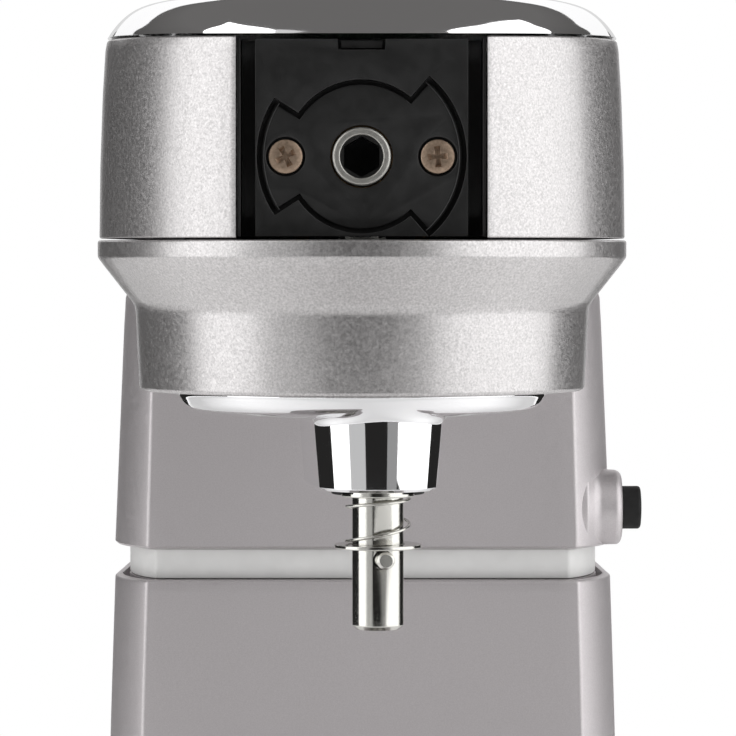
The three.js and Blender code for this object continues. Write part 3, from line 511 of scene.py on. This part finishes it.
def make_upper_housing():
    top = COVER_EDGE - 0.3
    profile = rounded([
        (66.0, SEAM + 0.25, 0.5), (65.75, SEAM + 18, 60), (65.1, SEAM + 36, 60), (64.4, top - 2.4, 10),
        (63.9, top, 0.8), (61, top, 0), (62.9, SEAM + 0.25, 0),
    ], closed=True)
    rows = []
    for half, z in profile:
        share = min(1, max(0, (z - SEAM - 30) / (top - SEAM - 30)))
        rows.append([(x, y, z - nose_dip(y) * share) for x, y in head_outline(half, PANEL_HIGH[0] + 0.3)])
    shell = grid_object("upper_housing_skin", rows, wrap_rows=True, wrap_columns=False)
    slots = []
    for k in range(-3, 4):
        x = 6.5 * k
        slots.append(prism("slot", rounded([
            (x - 1.5, SEAM + 12, 1.4), (x + 1.5, SEAM + 12, 1.4), (x + 1.5, SEAM + 36, 1.4), (x - 1.5,
                SEAM + 36, 1.4),
        ], closed=True, steps=4), 150, 190, axis="y"))
    combine(shell, slots)
    return piece(soften(shell, 0.35, 2, 55), "head", "silver_paint", "upper_housing")


def make_cover():
    outside = smooth_path([
        (0.0, 10.45), (18, 10.4), (36, 10.1), (47, 9.5), (53, 8.6), (56.4, 7.5), (58.9, 6.0), (61.1, 4.0),
        (62.8, 1.9), (63.85, 0.25),
    ], 6)
    inside = [(half - 2, max(0.25, height - 2)) for half, height in reversed(outside[9:])]
    inside.append((0.0, 8.4))
    rows = []
    for half, height in [*outside, *inside]:
        share = min(1, (63.85 - half) / 12)
        row = []
        for x, y in head_outline(half):
            rise = 7.1 * max(0, 1 - ((y - 30) / 108) ** 2) ** 1.5
            z = COVER_EDGE + height + rise * share - nose_dip(y) * (1 - share)
            row.append((x, y, z))
        rows.append(row)
    return piece(grid_object("polished_top_cover", rows, sharp=50, caps=False), "head", "chrome",
                 "chrome_top_cover")


def make_lower_housing():
    floor = 265
    tray_profile = rounded([
        (62.6, SEAM - 0.15, 0), (66.45, SEAM - 0.15, 0.7), (66.45, SEAM - 4.4, 1.6), (65.0, SEAM - 6.4, 3),
        (57.0, SEAM - 16.6, 7), (56.2, floor + 3.4, 4), (53, floor, 3), (50, floor, 0),
        (50, floor + 3, 0), (53.4, SEAM - 16, 3), (62.4, SEAM - 5, 0),
    ], closed=True)
    rows = [[(x, y, z) for x, y in head_outline(half)] for half, z in tray_profile]
    tray = grid_object("lower_housing_skin", rows, wrap_rows=True)
    floor_outline = [(x, y) for x, y in head_outline(51)]
    plate = prism("floor", floor_outline, floor + 0.2, floor + 2.8)
    bore = lathe("bore", [(0, floor - 5), (53, floor - 5), (53, floor + 6), (0, floor + 6)], b=PLANET_Y)
    combine(plate, [bore])
    cup = lathe("cup", rounded([
        (60.83, SEAM - 11.6, 0), (57.05, SEAM - 16.4, 7), (56.0, CUP_BOTTOM, 1.2), (53, CUP_BOTTOM, 0.6),
        (53, SEAM - 20, 0), (56, SEAM - 11.6, 0),
    ], closed=True, steps=10), b=PLANET_Y, segments=176, closed=True)
    return piece(merge(tray, [plate, cup]), "head", "silver_paint", "lower_housing")


def stand_rows(sections):
    return [[(p.x, p.y, z) for p in stand_outline(half, crease, front, rear)]
            for z, half, crease, front, rear in sections]


def tray_room():
    profile = [(54.6, 264.7), (57.2, 268), (57.7, SEAM - 17), (67, SEAM - 4)]
    return grid_object("room", [[(x, y, z) for x, y in head_outline(half)] for half, z in profile])


def make_neck():
    front, rear = NECK_LOW[1], NECK_HIGH[1]
    bottom = NECK_BOTTOM
    sections = [(bottom, 69.4, 59.2, 0.5), (bottom + 0.6, 69.95, 59.5, 0)]
    sections += [(bottom + 0.6 + 4.4 * k, 69.95 - 0.19 * k, 59.5 - 0.12 * k, 0) for k in range(1, 15)]
    sections += [(270, 67.1, 57.8, 0), (274, 66.9, 57.7, 0.1), (276.2, 66.1, 57.2, 0.6),
                 (277.4, 65, 56.4, 1.2), (277.8, 63.8, 55.8, 2)]
    neck = grid_object("neck_skin", stand_rows([
        (z, half, crease, front + inset, rear - inset) for z, half, crease, inset in sections]))
    cavity = grid_object("cavity", stand_rows([
        (bottom - 1, 66, 55, front + 4, rear - 4), (256, 63.5, 53, front + 4, rear - 4),
        (261, 58, 50, front + 8, rear - 8)]))
    rear_edge = block("rear_edge", -80, 80, HINGE_Y, HINGE_Y + 30, HINGE_Z - 14, HINGE_Z)
    combine(rear_edge, [lathe("barrel", [(0, -90), (BARREL_RADIUS, -90), (BARREL_RADIUS, 90), (0, 90)],
                              "x", HINGE_Y,
                              HINGE_Z)])
    combine(neck, [cavity, tray_room(), rear_edge])
    barrel = lathe("barrel",
                   rounded([(0, -63, 0), (BARREL_RADIUS, -63, 1), (BARREL_RADIUS, 63, 1),
                            (0, 63, 0)]), "x",
                   HINGE_Y, HINGE_Z)
    boss = lathe("boss", rounded([
        (0, 57, 0), (14.6, 57, 0), (14.0, 62.6, 1.2), (10.9, 65.2, 3.6), (10.4, 72.5, 2.2), (0, 72.5, 0),
    ], steps=10), "x", LATCH_Y, LATCH_Z, 128)
    combine(boss, [block("below", 50, 80, 0, 60, bottom - 20, bottom + 0.25)])
    combine(neck, [barrel, boss], "UNION")
    notches = []
    for side in (-1, 1):
        notches.append(lathe("notch",
                             [(0, side * KNUCKLE_X - 6.3), (14.5, side * KNUCKLE_X - 6.3),
                              (14.5, side * KNUCKLE_X + 6.3),
                                       (0, side * KNUCKLE_X + 6.3)], "x", HINGE_Y, HINGE_Z))
    bore = lathe("bore", [(0, 50), (6.5, 50), (6.5, 80), (0, 80)], "x", LATCH_Y, LATCH_Z, segments=64)
    combine(neck, [*notches, bore])
    return piece(neck, "head", "satin_paint", "neck_shell")


make_upper_housing()
make_cover()
make_lower_housing()
make_neck()

# ------------------------------------------------------------------ power outlet

LUGS = ((0, 49), (180, 33))
DISC_RADIUS = 17.8
LUG_RADIUS = 24.5
OUTLET_SCREW_X = 18.1


def lug_outline(margin):
    """Disc with two lugs, counter-clockwise, with square shoulders."""
    points = []
    edges = [(0 - 49, 0 + 49, LUG_RADIUS), (49, 180 - 33, DISC_RADIUS), (180 - 33, 180 + 33, LUG_RADIUS),
             (180 + 33, 360 - 49, DISC_RADIUS)]
    for start, end, radius in edges:
        wide = radius == LUG_RADIUS
        spread = math.degrees(margin / radius) * (1 if wide else -1)
        for k in range(41):
            angle = math.radians(start - spread + (end - start + 2 * spread) * k / 40)
            points.append(((radius + margin) * math.cos(angle), (radius + margin) * math.sin(angle)))
    return points


def make_panel():
    (x0, front, z0), (x1, back, z1) = PANEL_LOW, PANEL_HIGH
    panel = block("outlet_panel", x0, x1, front, back, z0, z1)
    tools = [block("channel", side * 27 - 1.75, side * 27 + 1.75, front - 9, front + 9, z0 - 5, z1 + 5)
             for side in (-1, 1)]
    tools.append(block("notch", -5.6, 5.6, front - 5, front + 4, z1 - 2.6, z1 + 5))
    tools.append(prism("recess", lug_outline(0.45), front - 5, PLATE_FACE + 2.4, "y", 0, OUTLET_Z))
    tools.append(lathe("bore", [(0, front - 5), (9.8, front - 5), (9.8, back + 5), (0, back + 5)], "y",
                       0, OUTLET_Z))
    combine(panel, tools)
    soften(panel, 0.45, 3, 30)
    catch = block("catch", -4.9, 4.9, front + 1.6, front + 3.9, z1 - 2.2, z1 - 0.5)
    ridges = []
    for middle, half in LUGS:
        path = []
        for k in range(61):
            angle = math.radians(middle - half + 2 * half * k / 60)
            radius = LUG_RADIUS - 1.1
            path.append((radius * math.cos(angle), PLATE_FACE + 0.05, OUTLET_Z + radius * math.sin(angle)))
        ridges.append(tube("ridge", path, 0.24, 10))
    return piece(merge(panel, [catch, *ridges]), "head", "black_plastic", "outlet_bezel")


def make_plate():
    back = box_mm("outlet_bayonet_plate")[1][1]
    plate = prism("bayonet_plate", lug_outline(-0.7), PLATE_FACE, back, "y", 0, OUTLET_Z)
    holes = [lathe("hole", [(0, -150), (4.7, -150), (4.7, -120), (0, -120)], "y", side * OUTLET_SCREW_X,
                   OUTLET_Z, 48)
             for side in (-1, 1)]
    holes.append(lathe("hole", [(0, -150), (7.45, -150), (7.45, -120), (0, -120)], "y", 0, OUTLET_Z))
    combine(plate, holes)
    return piece(soften(plate, 0.3, 2, 35), "head", "black_plastic", "outlet_bayonet_plate")


def make_outlet_screw(name, x, turn):
    face = PLATE_FACE - 0.15
    head = lathe(name, rounded([
        (0, face - 0.05, 0), (2.6, face, 6), (4.1, face + 0.35, 0.4), (4.1, face + 2.2, 0.3), (2,
            face + 2.4, 0), (2, face + 9, 0),
        (0, face + 9, 0),
    ]), "y", 0, 0, 64)
    cross = []
    for angle in (turn, turn + 90):
        outline = [(-2.7, -0.85), (-0.9, -0.6), (0.9, -0.6), (2.7, -0.85),
                   (2.7, 0.85), (0.9, 0.6), (-0.9, 0.6), (-2.7, 0.85)]
        spin = Matrix.Rotation(math.radians(angle), 2)
        low = [spin @ Vector(p) for p in outline]
        rows = [[(p.x, face - 0.4, p.y) for p in low], [(p.x * 0.55, face + 1.5, p.y * 0.7) for p in low]]
        cross.append(grid_object("cross", rows))
    combine(head, cross)
    soften(head, 0.08, 2, 35)
    head.data.transform(Matrix.Translation((x * MM, 0, OUTLET_Z * MM)))
    return piece(head, "head", "screw_steel", "outlet_screw_left" if x < 0 else "outlet_screw_right")


def make_outlet_sleeve():
    front, rear = box_mm("outlet_drive_sleeve")[0][1], box_mm("outlet_drive_sleeve")[1][1]
    shoulder = PLANET_Y - 34
    barrel = lathe("outlet_sleeve", rounded([
        (0, front + 18, 0), (5.1, front + 18, 0), (5.15, front, 0.35), (7, front, 0.7), (7, shoulder,
            0.4), (5, shoulder, 0),
        (5, rear, 0.4), (0, rear, 0),
    ]), "y", 0, OUTLET_Z)
    outer = 5.25
    hexagon = [(4.9 * math.sin(math.radians(60 * k)),
                4.9 * math.cos(math.radians(60 * k))) for k in range(6)]
    liner = lathe("liner",
                  [(0, front + 2.6), (outer, front + 2.6), (outer, front + 17.5),
                   (0, front + 17.5)], "y", 0, OUTLET_Z, 64)
    combine(liner, [prism("hexagon", hexagon, front, front + 16.5, "y", 0, OUTLET_Z)])
    piece(liner, "outlet", "black_plastic")
    return piece(barrel, "outlet", "steel", "outlet_drive_sleeve", material=MATERIALS["satin_steel"])


make_panel()
make_plate()
make_outlet_screw("outlet_screw_a", -OUTLET_SCREW_X, 27)
make_outlet_screw("outlet_screw_b", OUTLET_SCREW_X, 4)
make_outlet_sleeve()

# ------------------------------------------------------------------ planetary carrier and beater drive

AXIS_ANGLE = math.atan2(BEATER_Y - PLANET_Y, BEATER_X)


def hub_ring(radius, z):
    steps = 64
    points = []
    for x, y, start in ((BEATER_X, BEATER_Y, -math.pi / 2), (0, PLANET_Y, math.pi / 2)):
        for k in range(steps + 1):
            angle = AXIS_ANGLE + start + math.pi * k / steps
            points.append((x + radius * math.cos(angle), y + radius * math.sin(angle), z))
    return points


HUB_FILLET = 2.2
HUB_REACH = 46.2
DOME_BOTTOM = 246.25


DOME_UNDERSIDE = rounded([
    (0, DOME_BOTTOM, 0), (38, DOME_BOTTOM, 50), (44.4, 247.9, 6), (46.5, 251.4, 3), (46.5, 256.5,
        0.5), (11, 256.5, 0),
    (11, 262, 0.5), (0, 262, 0),
], steps=16)


def on_dome(x, y, drop):
    """A point of the hub foot, kept inside the rim and a given distance below the dome."""
    reach = math.hypot(x, y - PLANET_Y)
    keep = min(1, HUB_REACH / reach)
    height = DOME_BOTTOM
    for (near, low), (far, high) in zip(DOME_UNDERSIDE, DOME_UNDERSIDE[1:]):
        if near <= reach * keep < far:
            height = low + (high - low) * (reach * keep - near) / (far - near)
    return (x * keep, PLANET_Y + (y - PLANET_Y) * keep, height - drop)


def make_carrier():
    floor = DOME_BOTTOM
    dome = lathe("carrier_dome", DOME_UNDERSIDE, b=PLANET_Y, segments=200)
    profile = rounded([
        (9.2, CARRIER_BOTTOM, 0), (13.9, CARRIER_BOTTOM, 0.3), (14.6, CARRIER_BOTTOM + 0.7, 0.3), (15.8,
            floor - 2, 0),
    ], steps=12)
    rows = [hub_ring(radius, z) for radius, z in profile]
    for k in range(9):
        angle = math.pi / 2 * k / 8
        ring = hub_ring(15.8 + HUB_FILLET * (1 - math.cos(angle)), floor)
        rows.append([on_dome(x, y, HUB_FILLET * (1 - math.sin(angle)) - 0.02) for x, y, z in ring])
    rows.append(hub_ring(9.6, floor + 2.5))
    hub = grid_object("hub", rows)
    combine(dome, [hub], "UNION")
    bore = lathe("bore", [(0, 220), (9.3, 220), (9.3, 252), (0, 252)], a=BEATER_X, b=BEATER_Y, segments=64)
    combine(dome, [bore])
    return piece(dome, "planetary", "chrome", "planetary_carrier")


def make_seal():
    ring = lathe("shaft_seal_ring", rounded([
        (6.7, 227.75, 0), (11.4, 227.75, 0.3), (11.4, 228.6, 0.3), (6.7, 228.6, 0)], closed=True),
        a=BEATER_X, b=BEATER_Y, closed=True)
    opening = block("opening", BEATER_X - 8.9, BEATER_X + 8.9, BEATER_Y - 14, BEATER_Y, 226, 230)
    piece(combine(ring, [opening]), "planetary", "rubber", "shaft_seal")
    retainer = lathe("seal_retainer", rounded([
        (6.75, 227.05, 0), (9.0, 227.05, 0.35), (9.0, 228.5, 0.2), (6.75, 228.5, 0)], closed=True),
        a=BEATER_X, b=BEATER_Y, closed=True)
    piece(retainer, "planetary", "steel")


def make_beater():
    low, high = box_mm("beater_shaft")
    radius = (high[0] - low[0]) / 2
    pin_z = sum(corner[2] for corner in box_mm("beater_pin")) / 2
    shaft = lathe("beater_shaft_turned", rounded([
        (0, low[2], 0), (radius - 0.9, low[2], 0.2), (radius, low[2] + 1.0, 0.4), (radius, high[2],
            0.4), (0, high[2], 0)]),
        a=BEATER_X, b=BEATER_Y)
    turn = math.radians(-78)
    spin = Matrix.Translation((BEATER_X * MM, BEATER_Y * MM, pin_z * MM)) @ Matrix.Rotation(turn, 4, "Z")
    hole = lathe("hole", [(0, -12), (2.45, -12), (2.45, 12), (0, 12)], "x", segments=48)
    hole.data.transform(spin)
    combine(shaft, [hole])
    soften(shaft, 0.18, 2, 40)
    piece(shaft, "beater", "steel", "beater_shaft")
    pin = lathe("beater_cross_pin", rounded([
        (0, -10, 0), (1.6, -10, 0.15), (2.2, -9.5, 0.2), (2.2, 9.5, 0.2), (1.6, 10, 0.15), (0, 10,
            0)]), "x", segments=48)
    pin.data.transform(spin)
    piece(pin, "beater", "steel", "beater_pin")
    washer_low, washer_high = box_mm("spring_washer")
    washer = lathe("washer_plate", rounded([
        (radius + 0.3, washer_low[2], 0.1), (10.7, washer_low[2], 0.3), (10.7, washer_high[2], 0.3),
        (radius + 0.3, washer_high[2], 0.1)], closed=True), a=BEATER_X, b=BEATER_Y, closed=True)
    piece(washer, "washer", "steel", "spring_washer")


def make_spring():
    """Just under two turns of wire, sloping from the retainer down to a flat end on the washer."""
    wire = 0.37
    top = box_mm("shaft_seal")[0][2] - wire - 0.1
    bottom = box_mm("spring_washer")[1][2] + wire + 0.02
    heights = [(0, top), (0.5, top - 1.9), (0.75, top - 3.8), (1.0, top - 6.1), (1.25, top - 8.6),
               (1.5, bottom + 0.4), (1.7, bottom), (1.8, bottom)]
    path = []
    for turns, z in smooth_path(heights, 14):
        angle = -2 * math.pi * turns + math.radians(6)
        path.append((BEATER_X + 7.75 * math.cos(angle), BEATER_Y + 7.75 * math.sin(angle), z))
    spring = tube("washer_return_spring", path, wire, 12)
    piece(spring, "beater", "steel", "beater_spring")
    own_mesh(spring)


make_carrier()
make_seal()
make_beater()
make_spring()

# ------------------------------------------------------------------ button and dial


def make_button():
    button = lathe("tilt_button_cap", rounded([
        (0, BUTTON_LOW[0], 0), (6, BUTTON_LOW[0], 0.3), (6, BUTTON_HIGH[0] - 0.2, 0.9), (4,
            BUTTON_HIGH[0], 2), (0, BUTTON_HIGH[0], 0),
    ]), "x", LATCH_Y, LATCH_Z, 64)
    piece(button, "button", "rubber", "tilt_button")


def make_dial():
    low, high = box_mm("speed_dial")
    radius = (high[1] - low[1]) / 2
    rows = []
    profile = rounded([(0, low[0], 0), (radius, low[0], 0.6), (radius, low[0] + 3, 0.4),
                       (15.6, low[0] + 4, 0.6), (14.9, high[0], 1.4),
                       (12.6, high[0], 0.4), (12, high[0] - 0.7, 0.4), (0, high[0] - 0.7, 0)])
    for r, x in profile:
        ring = []
        for k in range(240):
            angle = 2 * math.pi * k / 240
            fluted = low[0] + 4.2 < x < high[0] - 1.2
            depth = 0.55 * max(0, math.cos(24 * angle)) if fluted else 0
            ring.append((x, DIAL_Y + (r - depth) * math.cos(angle), DIAL_Z + (r - depth) * math.sin(angle)))
        rows.append(ring)
    dial = grid_object("speed_dial_knob", rows, sharp=40)
    pointer = block("pointer", high[0] - 1.0, high[0] - 0.35, DIAL_Y - 0.7, DIAL_Y + 0.7, DIAL_Z + 3,
                    DIAL_Z + 11)
    piece(dial, "dial", "black_plastic", "speed_dial")
    piece(soften(pointer, 0.15), "dial", "pale_plastic")
    seat = lathe("dial_seat",
                 rounded([(14, 58, 0), (19.5, 58, 0), (19.5, 62.6, 1.0), (14, 62.7, 0)], closed=True),
                 "x", DIAL_Y, DIAL_Z, closed=True)
    piece(seat, "head", "chrome")


make_button()
make_dial()

# ------------------------------------------------------------------ column, collar and base


def make_column():
    low = COLUMN_LOW[2]
    keys = [(low, 76, 64, 8, 150), (60, 74, 63, 9.5, 140), (110, 72.4, 61.6, 11, 126),
            (152, 71.4, 61.0, 12, 117),
            (COLUMN_TOP - 1, 70.0, 59.8, 12, 112.3)]
    sections = []
    for i in range(len(keys) - 1):
        for k in range(10):
            t = k / 10
            p = [keys[max(i - 1, 0)], keys[i], keys[i + 1], keys[min(i + 2, len(keys) - 1)]]
            sections.append(tuple(
                0.5 * (2 * b + (c - a) * t + (2 * a - 5 * b + 4 * c - d) * t ** 2
                       + (3 * b - a - 3 * c + d) * t ** 3)
                for a, b, c, d in zip(*p)))
    sections.append(keys[-1])
    z, half, crease, front, rear = keys[-1]
    for drop, inset in ((0.55, 0.1), (0.85, 0.35), (1.0, 0.8)):
        sections.append((z + drop, half - inset, crease - inset * 0.8, front + inset, rear - inset))
    column = grid_object("column_skin", stand_rows(sections))
    groove_rows = []
    for z, inset in ((COLUMN_TOP - 4, 2.0), (COLUMN_TOP + 2, 2.0), (COLUMN_TOP + 2, 3.8),
                     (COLUMN_TOP - 4, 3.8)):
        outline = stand_outline(half - inset, crease - inset * 0.6, front + inset, rear - inset)
        groove_rows.append([(p.x, p.y, z) for p in outline])
    combine(column, [grid_object("groove", groove_rows, wrap_rows=True)])
    ears = []
    for side in (-1, 1):
        ears.append(lathe("knuckle",
                          rounded([(0, side * KNUCKLE_X - 5.7, 0), (13.2, side * KNUCKLE_X - 5.7, 0.8),
                                              (13.2, side * KNUCKLE_X + 5.7, 0.8), (0,
                                                  side * KNUCKLE_X + 5.7,
                                                  0)]), "x", HINGE_Y, HINGE_Z))
        ears.append(block("ear", side * KNUCKLE_X - 5.7, side * KNUCKLE_X + 5.7, HINGE_Y - 10, HINGE_Y + 10,
                          COLUMN_TOP - 4, HINGE_Z - 8))
    combine(column, ears, "UNION")
    return piece(column, "stand", "satin_paint", "column")


def make_collar():
    low, high = box_mm("hinge_collar")
    rows = []
    for z, inset in ((low[2], 4.2), (low[2] + 0.4, 4), (high[2] - 0.4, 4), (high[2], 4.3), (high[2], 8),
                     (low[2], 8)):
        rows.append([(p.x, p.y, z) for p in stand_outline(70 - inset, 59.5 - inset / 2,
                                                          NECK_LOW[1] + inset, NECK_HIGH[1] - inset)])
    collar = grid_object("hinge_collar_band", rows, wrap_rows=True)
    combine(collar, [block("rear", -90, 90, high[1], 130, low[2] - 3, high[2] + 3)])
    return piece(collar, "stand", "pale_plastic", "hinge_collar")


def make_base():
    low, high = BASE_LOW[2], BASE_HIGH[2]
    profile = rounded([
        (8.2, low + 3, 0), (8.2, low, 0.4), (3, low, 1), (0.6, low + 2.4, 3), (0, low + 6, 6), (0,
            high - 9, 8), (3, high - 2.6, 7),
        (9.5, high, 8), (14, high, 0),
    ], steps=8)
    base = grid_object("base_skin", [[(x, y, z) for x, y in base_outline(inset)] for inset, z in profile])
    recess = lathe("recess",
                   rounded([(0, 26.8, 0), (62.4, 26.8, 0.8), (62.5, 29.2, 0.5), (64.5, 34, 0),
                            (0, 34, 0)]), b=PLANET_Y, segments=160)
    inlet = lathe("inlet", [(0, 140), (7.3, 140), (7.3, 175), (0, 175)], "y", -30, 14, 64)
    combine(base, [recess, inlet])
    return piece(base, "stand", "satin_paint", "base")


def make_clamp_plate():
    low, high = box_mm("bowl_clamp_plate")
    radius = (high[0] - low[0]) / 2
    plate = lathe("clamp_plate_dish", rounded([
        (0, low[2], 0), (radius, low[2], 0.4), (radius, high[2], 1.4), (48, high[2], 1.0), (48, 29.3,
            1.2), (34, 29.3, 2), (32, 28.6, 2),
        (0, 28.6, 0),
    ], steps=8), b=PLANET_Y, segments=160)
    lugs = []
    for middle in (0, math.pi):
        outline = [(49 * math.cos(middle + math.radians(a)),
                    49 * math.sin(middle + math.radians(a))) for a in range(-24, 25, 2)]
        outline += [(43.5 * math.cos(middle + math.radians(a)),
                     43.5 * math.sin(middle + math.radians(a))) for a in range(24, -25, -2)]
        lug = prism("lug", outline, 30.8, high[2] - 0.05, "z", 0, PLANET_Y)
        lugs.append(soften(lug, 0.3))
    return piece(merge(plate, lugs), "stand", "steel", "bowl_clamp_plate")


def make_clamp_screw(name, node):
    low, high = box_mm(node)
    x = (low[0] + high[0]) / 2
    screw = lathe(name, rounded([(0, 28.4, 0), (4, 28.4, 0.2), (4, 30.2, 0.9), (2.6, 31.3, 3),
                                 (0, 31.4, 0)]), "z", x, PLANET_Y, 64)
    cross = [block("cross", x - 2.4, x + 2.4, PLANET_Y - 0.5, PLANET_Y + 0.5, 30.2, 32),
             block("cross", x - 0.5, x + 0.5, PLANET_Y - 2.4, PLANET_Y + 2.4, 30.2, 32)]
    combine(screw, cross)
    return piece(soften(screw, 0.1, 2), "stand", "steel", node)


def make_underside():
    low, high = box_mm("base_cover")
    cover = prism("base_cover_plate", base_outline(8.4), low[2], high[2])
    for name, x, y in (("a", -70, -105), ("b", 70, -105), ("c", -50, 120), ("d", 50, 120)):
        foot = lathe("foot_" + name, rounded([
            (0, 0.35, 0), (6, 0.35, 0.3), (6.6, 0, 0.3), (10, 0, 0.6), (11, 1, 0.5), (11, 3.1, 0.2), (0,
                3.1, 0)]), "z", x, y, 64)
        side = "left" if x < 0 else "right"
        piece(foot, "stand", "rubber", "foot_" + ("front_" if y < 0 else "rear_") + side)
    piece(soften(cover, 0.4), "stand", "black_plastic", "base_cover")
    gland_low, gland_high = box_mm("cord_inlet")
    ribs = [(3.6, gland_low[1], 0.2), (7, gland_low[1], 0.3), (7, gland_high[1] - 3, 0.4),
            (6.4, gland_high[1] - 2.4, 0.3),
            (6.9, gland_high[1] - 1.6, 0.4), (6.2, gland_high[1], 0.8), (3.6, gland_high[1], 0.5)]
    gland = lathe("cord_inlet_gland", rounded(ribs, closed=True), "y", -30, 14, 64, closed=True)
    piece(gland, "stand", "rubber", "cord_inlet")


make_column()
make_collar()
make_base()
make_clamp_plate()
make_clamp_screw("clamp_screw_a", "clamp_screw_left")
make_clamp_screw("clamp_screw_b", "clamp_screw_right")
make_underside()

# ------------------------------------------------------------------ CAD nodes that stay

for entry in frame["record"]["subparts"]:
    for slot in frame["nodes"][entry["node"]].material_slots:
        slot.material = MATERIALS[entry["material_slot"]]

# ------------------------------------------------------------------ studio


def make_floor():
    radius = 900
    rim = [(radius * math.cos(math.radians(a)), radius * math.sin(math.radians(a)), -0.2)
           for a in range(0, 360, 3)]
    floor = mesh_object("floor_with_painted_light", rim, [tuple(range(len(rim)))])
    pale = Shader("floor_with_painted_light", (0.82, 0.82, 0.82), 0.0, 0.7)
    pale.rough(pale.span(pale.noise(40), 0.65, 0.75))
    # The floor glows though it is no lamp: its white emission paints light and shade onto it.
    pale.surface.inputs["Emission Color"].default_value = (1, 1, 1, 1)
    # Painted pools of light: the glow is brightest in two patches either side of the object.
    painted_light_pools = []
    for side in (-1, 1):
        painted_light_pool = pale.add("ShaderNodeTexGradient", gradient_type="SPHERICAL")
        painted_pool_mapping = pale.add("ShaderNodeMapping")
        painted_pool_mapping.inputs["Location"].default_value = (-side * 0.9, 0.2, 0)
        painted_pool_mapping.inputs["Scale"].default_value = (2.6, 2.6, 2.6)
        pale.link(pale.place, painted_pool_mapping.inputs["Vector"])
        pale.link(painted_pool_mapping.outputs["Vector"], painted_light_pool.inputs["Vector"])
        painted_light_pools.append(painted_light_pool.outputs["Fac"])
    total = pale.add("ShaderNodeMath", operation="ADD")
    pale.link(painted_light_pools[0], total.inputs[0])
    pale.link(painted_light_pools[1], total.inputs[1])
    # Painted shade and glow by distance: there is no glow close around the object, which paints a contact
    # shadow, and the glow rises to full white towards the rim.
    reach = pale.add("ShaderNodeTexGradient", gradient_type="SPHERICAL")
    pale.link(pale.place, reach.inputs["Vector"])
    painted_floor_glow = pale.add("ShaderNodeMath", operation="MAXIMUM")
    pale.link(pale.span(total.outputs[0], 0.22, 0.68, 0, 1), painted_floor_glow.inputs[0])
    pale.link(pale.span(reach.outputs["Fac"], 1, 0, 0.11, 0.3), painted_floor_glow.inputs[1])
    pale.link(painted_floor_glow.outputs[0], pale.surface.inputs["Emission Strength"])
    floor.data.materials.append(pale.material)


def add_softbox(name, start, end, radiance, distance=1.2, middle=1.0, tall=2.2):
    """An upright panel of light seen from the head between two azimuths; 0 is in front, +90 is +X."""
    azimuth = math.radians((start + end) / 2)
    light = bpy.data.lights.new(name, "AREA")
    light.shape = "RECTANGLE"
    light.size = 2 * distance * math.tan(math.radians(end - start) / 2)
    light.size_y = tall
    light.energy = radiance * math.pi * light.size * light.size_y
    obj = bpy.data.objects.new(name, light)
    obj.visible_camera = False
    obj.location = (distance * math.sin(azimuth), PLANET_Y * MM - distance * math.cos(azimuth), middle)
    obj.rotation_euler = (math.pi / 2, 0, azimuth)
    bpy.context.scene.collection.objects.link(obj)


def make_world():
    """White to the camera; to the object, a dark room with a slightly lighter ceiling."""
    world = bpy.data.worlds.new("studio")
    bpy.context.scene.world = world
    world.use_nodes = True
    nodes, links = world.node_tree.nodes, world.node_tree.links
    split = nodes.new("ShaderNodeSeparateXYZ")
    links.new(nodes.new("ShaderNodeTexCoord").outputs["Generated"], split.inputs[0])
    height = nodes.new("ShaderNodeMapRange")
    for key, value in (("From Min", 0.1), ("From Max", 0.7), ("To Min", 0.02), ("To Max", 0.15)):
        height.inputs[key].default_value = value
    links.new(split.outputs["Z"], height.inputs["Value"])
    room = nodes["Background"]
    room.inputs["Color"].default_value = (1, 0.97, 0.95, 1)
    links.new(height.outputs["Result"], room.inputs["Strength"])
    white = nodes.new("ShaderNodeBackground")
    white.inputs["Color"].default_value = (1, 1, 1, 1)
    mix = nodes.new("ShaderNodeMixShader")
    links.new(nodes.new("ShaderNodeLightPath").outputs["Is Camera Ray"], mix.inputs["Fac"])
    links.new(room.outputs[0], mix.inputs[1])
    links.new(white.outputs[0], mix.inputs[2])
    links.new(mix.outputs[0], nodes["World Output"].inputs["Surface"])


def make_camera():
    camera = bpy.data.cameras.new("camera")
    camera.lens = 184.3
    camera.sensor_width = 36
    camera.clip_end = 50
    obj = bpy.data.objects.new("camera", camera)
    obj.location = (0.0015, PLANET_Y * MM - 0.95, 0.2875)
    obj.rotation_euler = (math.radians(90 - 1.8), 0, 0)
    bpy.context.scene.collection.objects.link(obj)
    bpy.context.scene.camera = obj


make_floor()
make_world()
add_softbox("softbox_left", -92, -52, 1.8)
add_softbox("fill_left", -52, -22, 0.55)
add_softbox("softbox_right", 36, 110, 1.68)
add_softbox("fill_right", 17, 36, 0.3)
add_softbox("backdrop_low", 160, 200, 0.7, distance=2.2, middle=0.45, tall=0.9)
add_softbox("backdrop_high", 138, 222, 1.0, distance=2.2, middle=1.5, tall=1.2)
make_camera()
bpy.context.scene.view_settings.view_transform = "Standard"
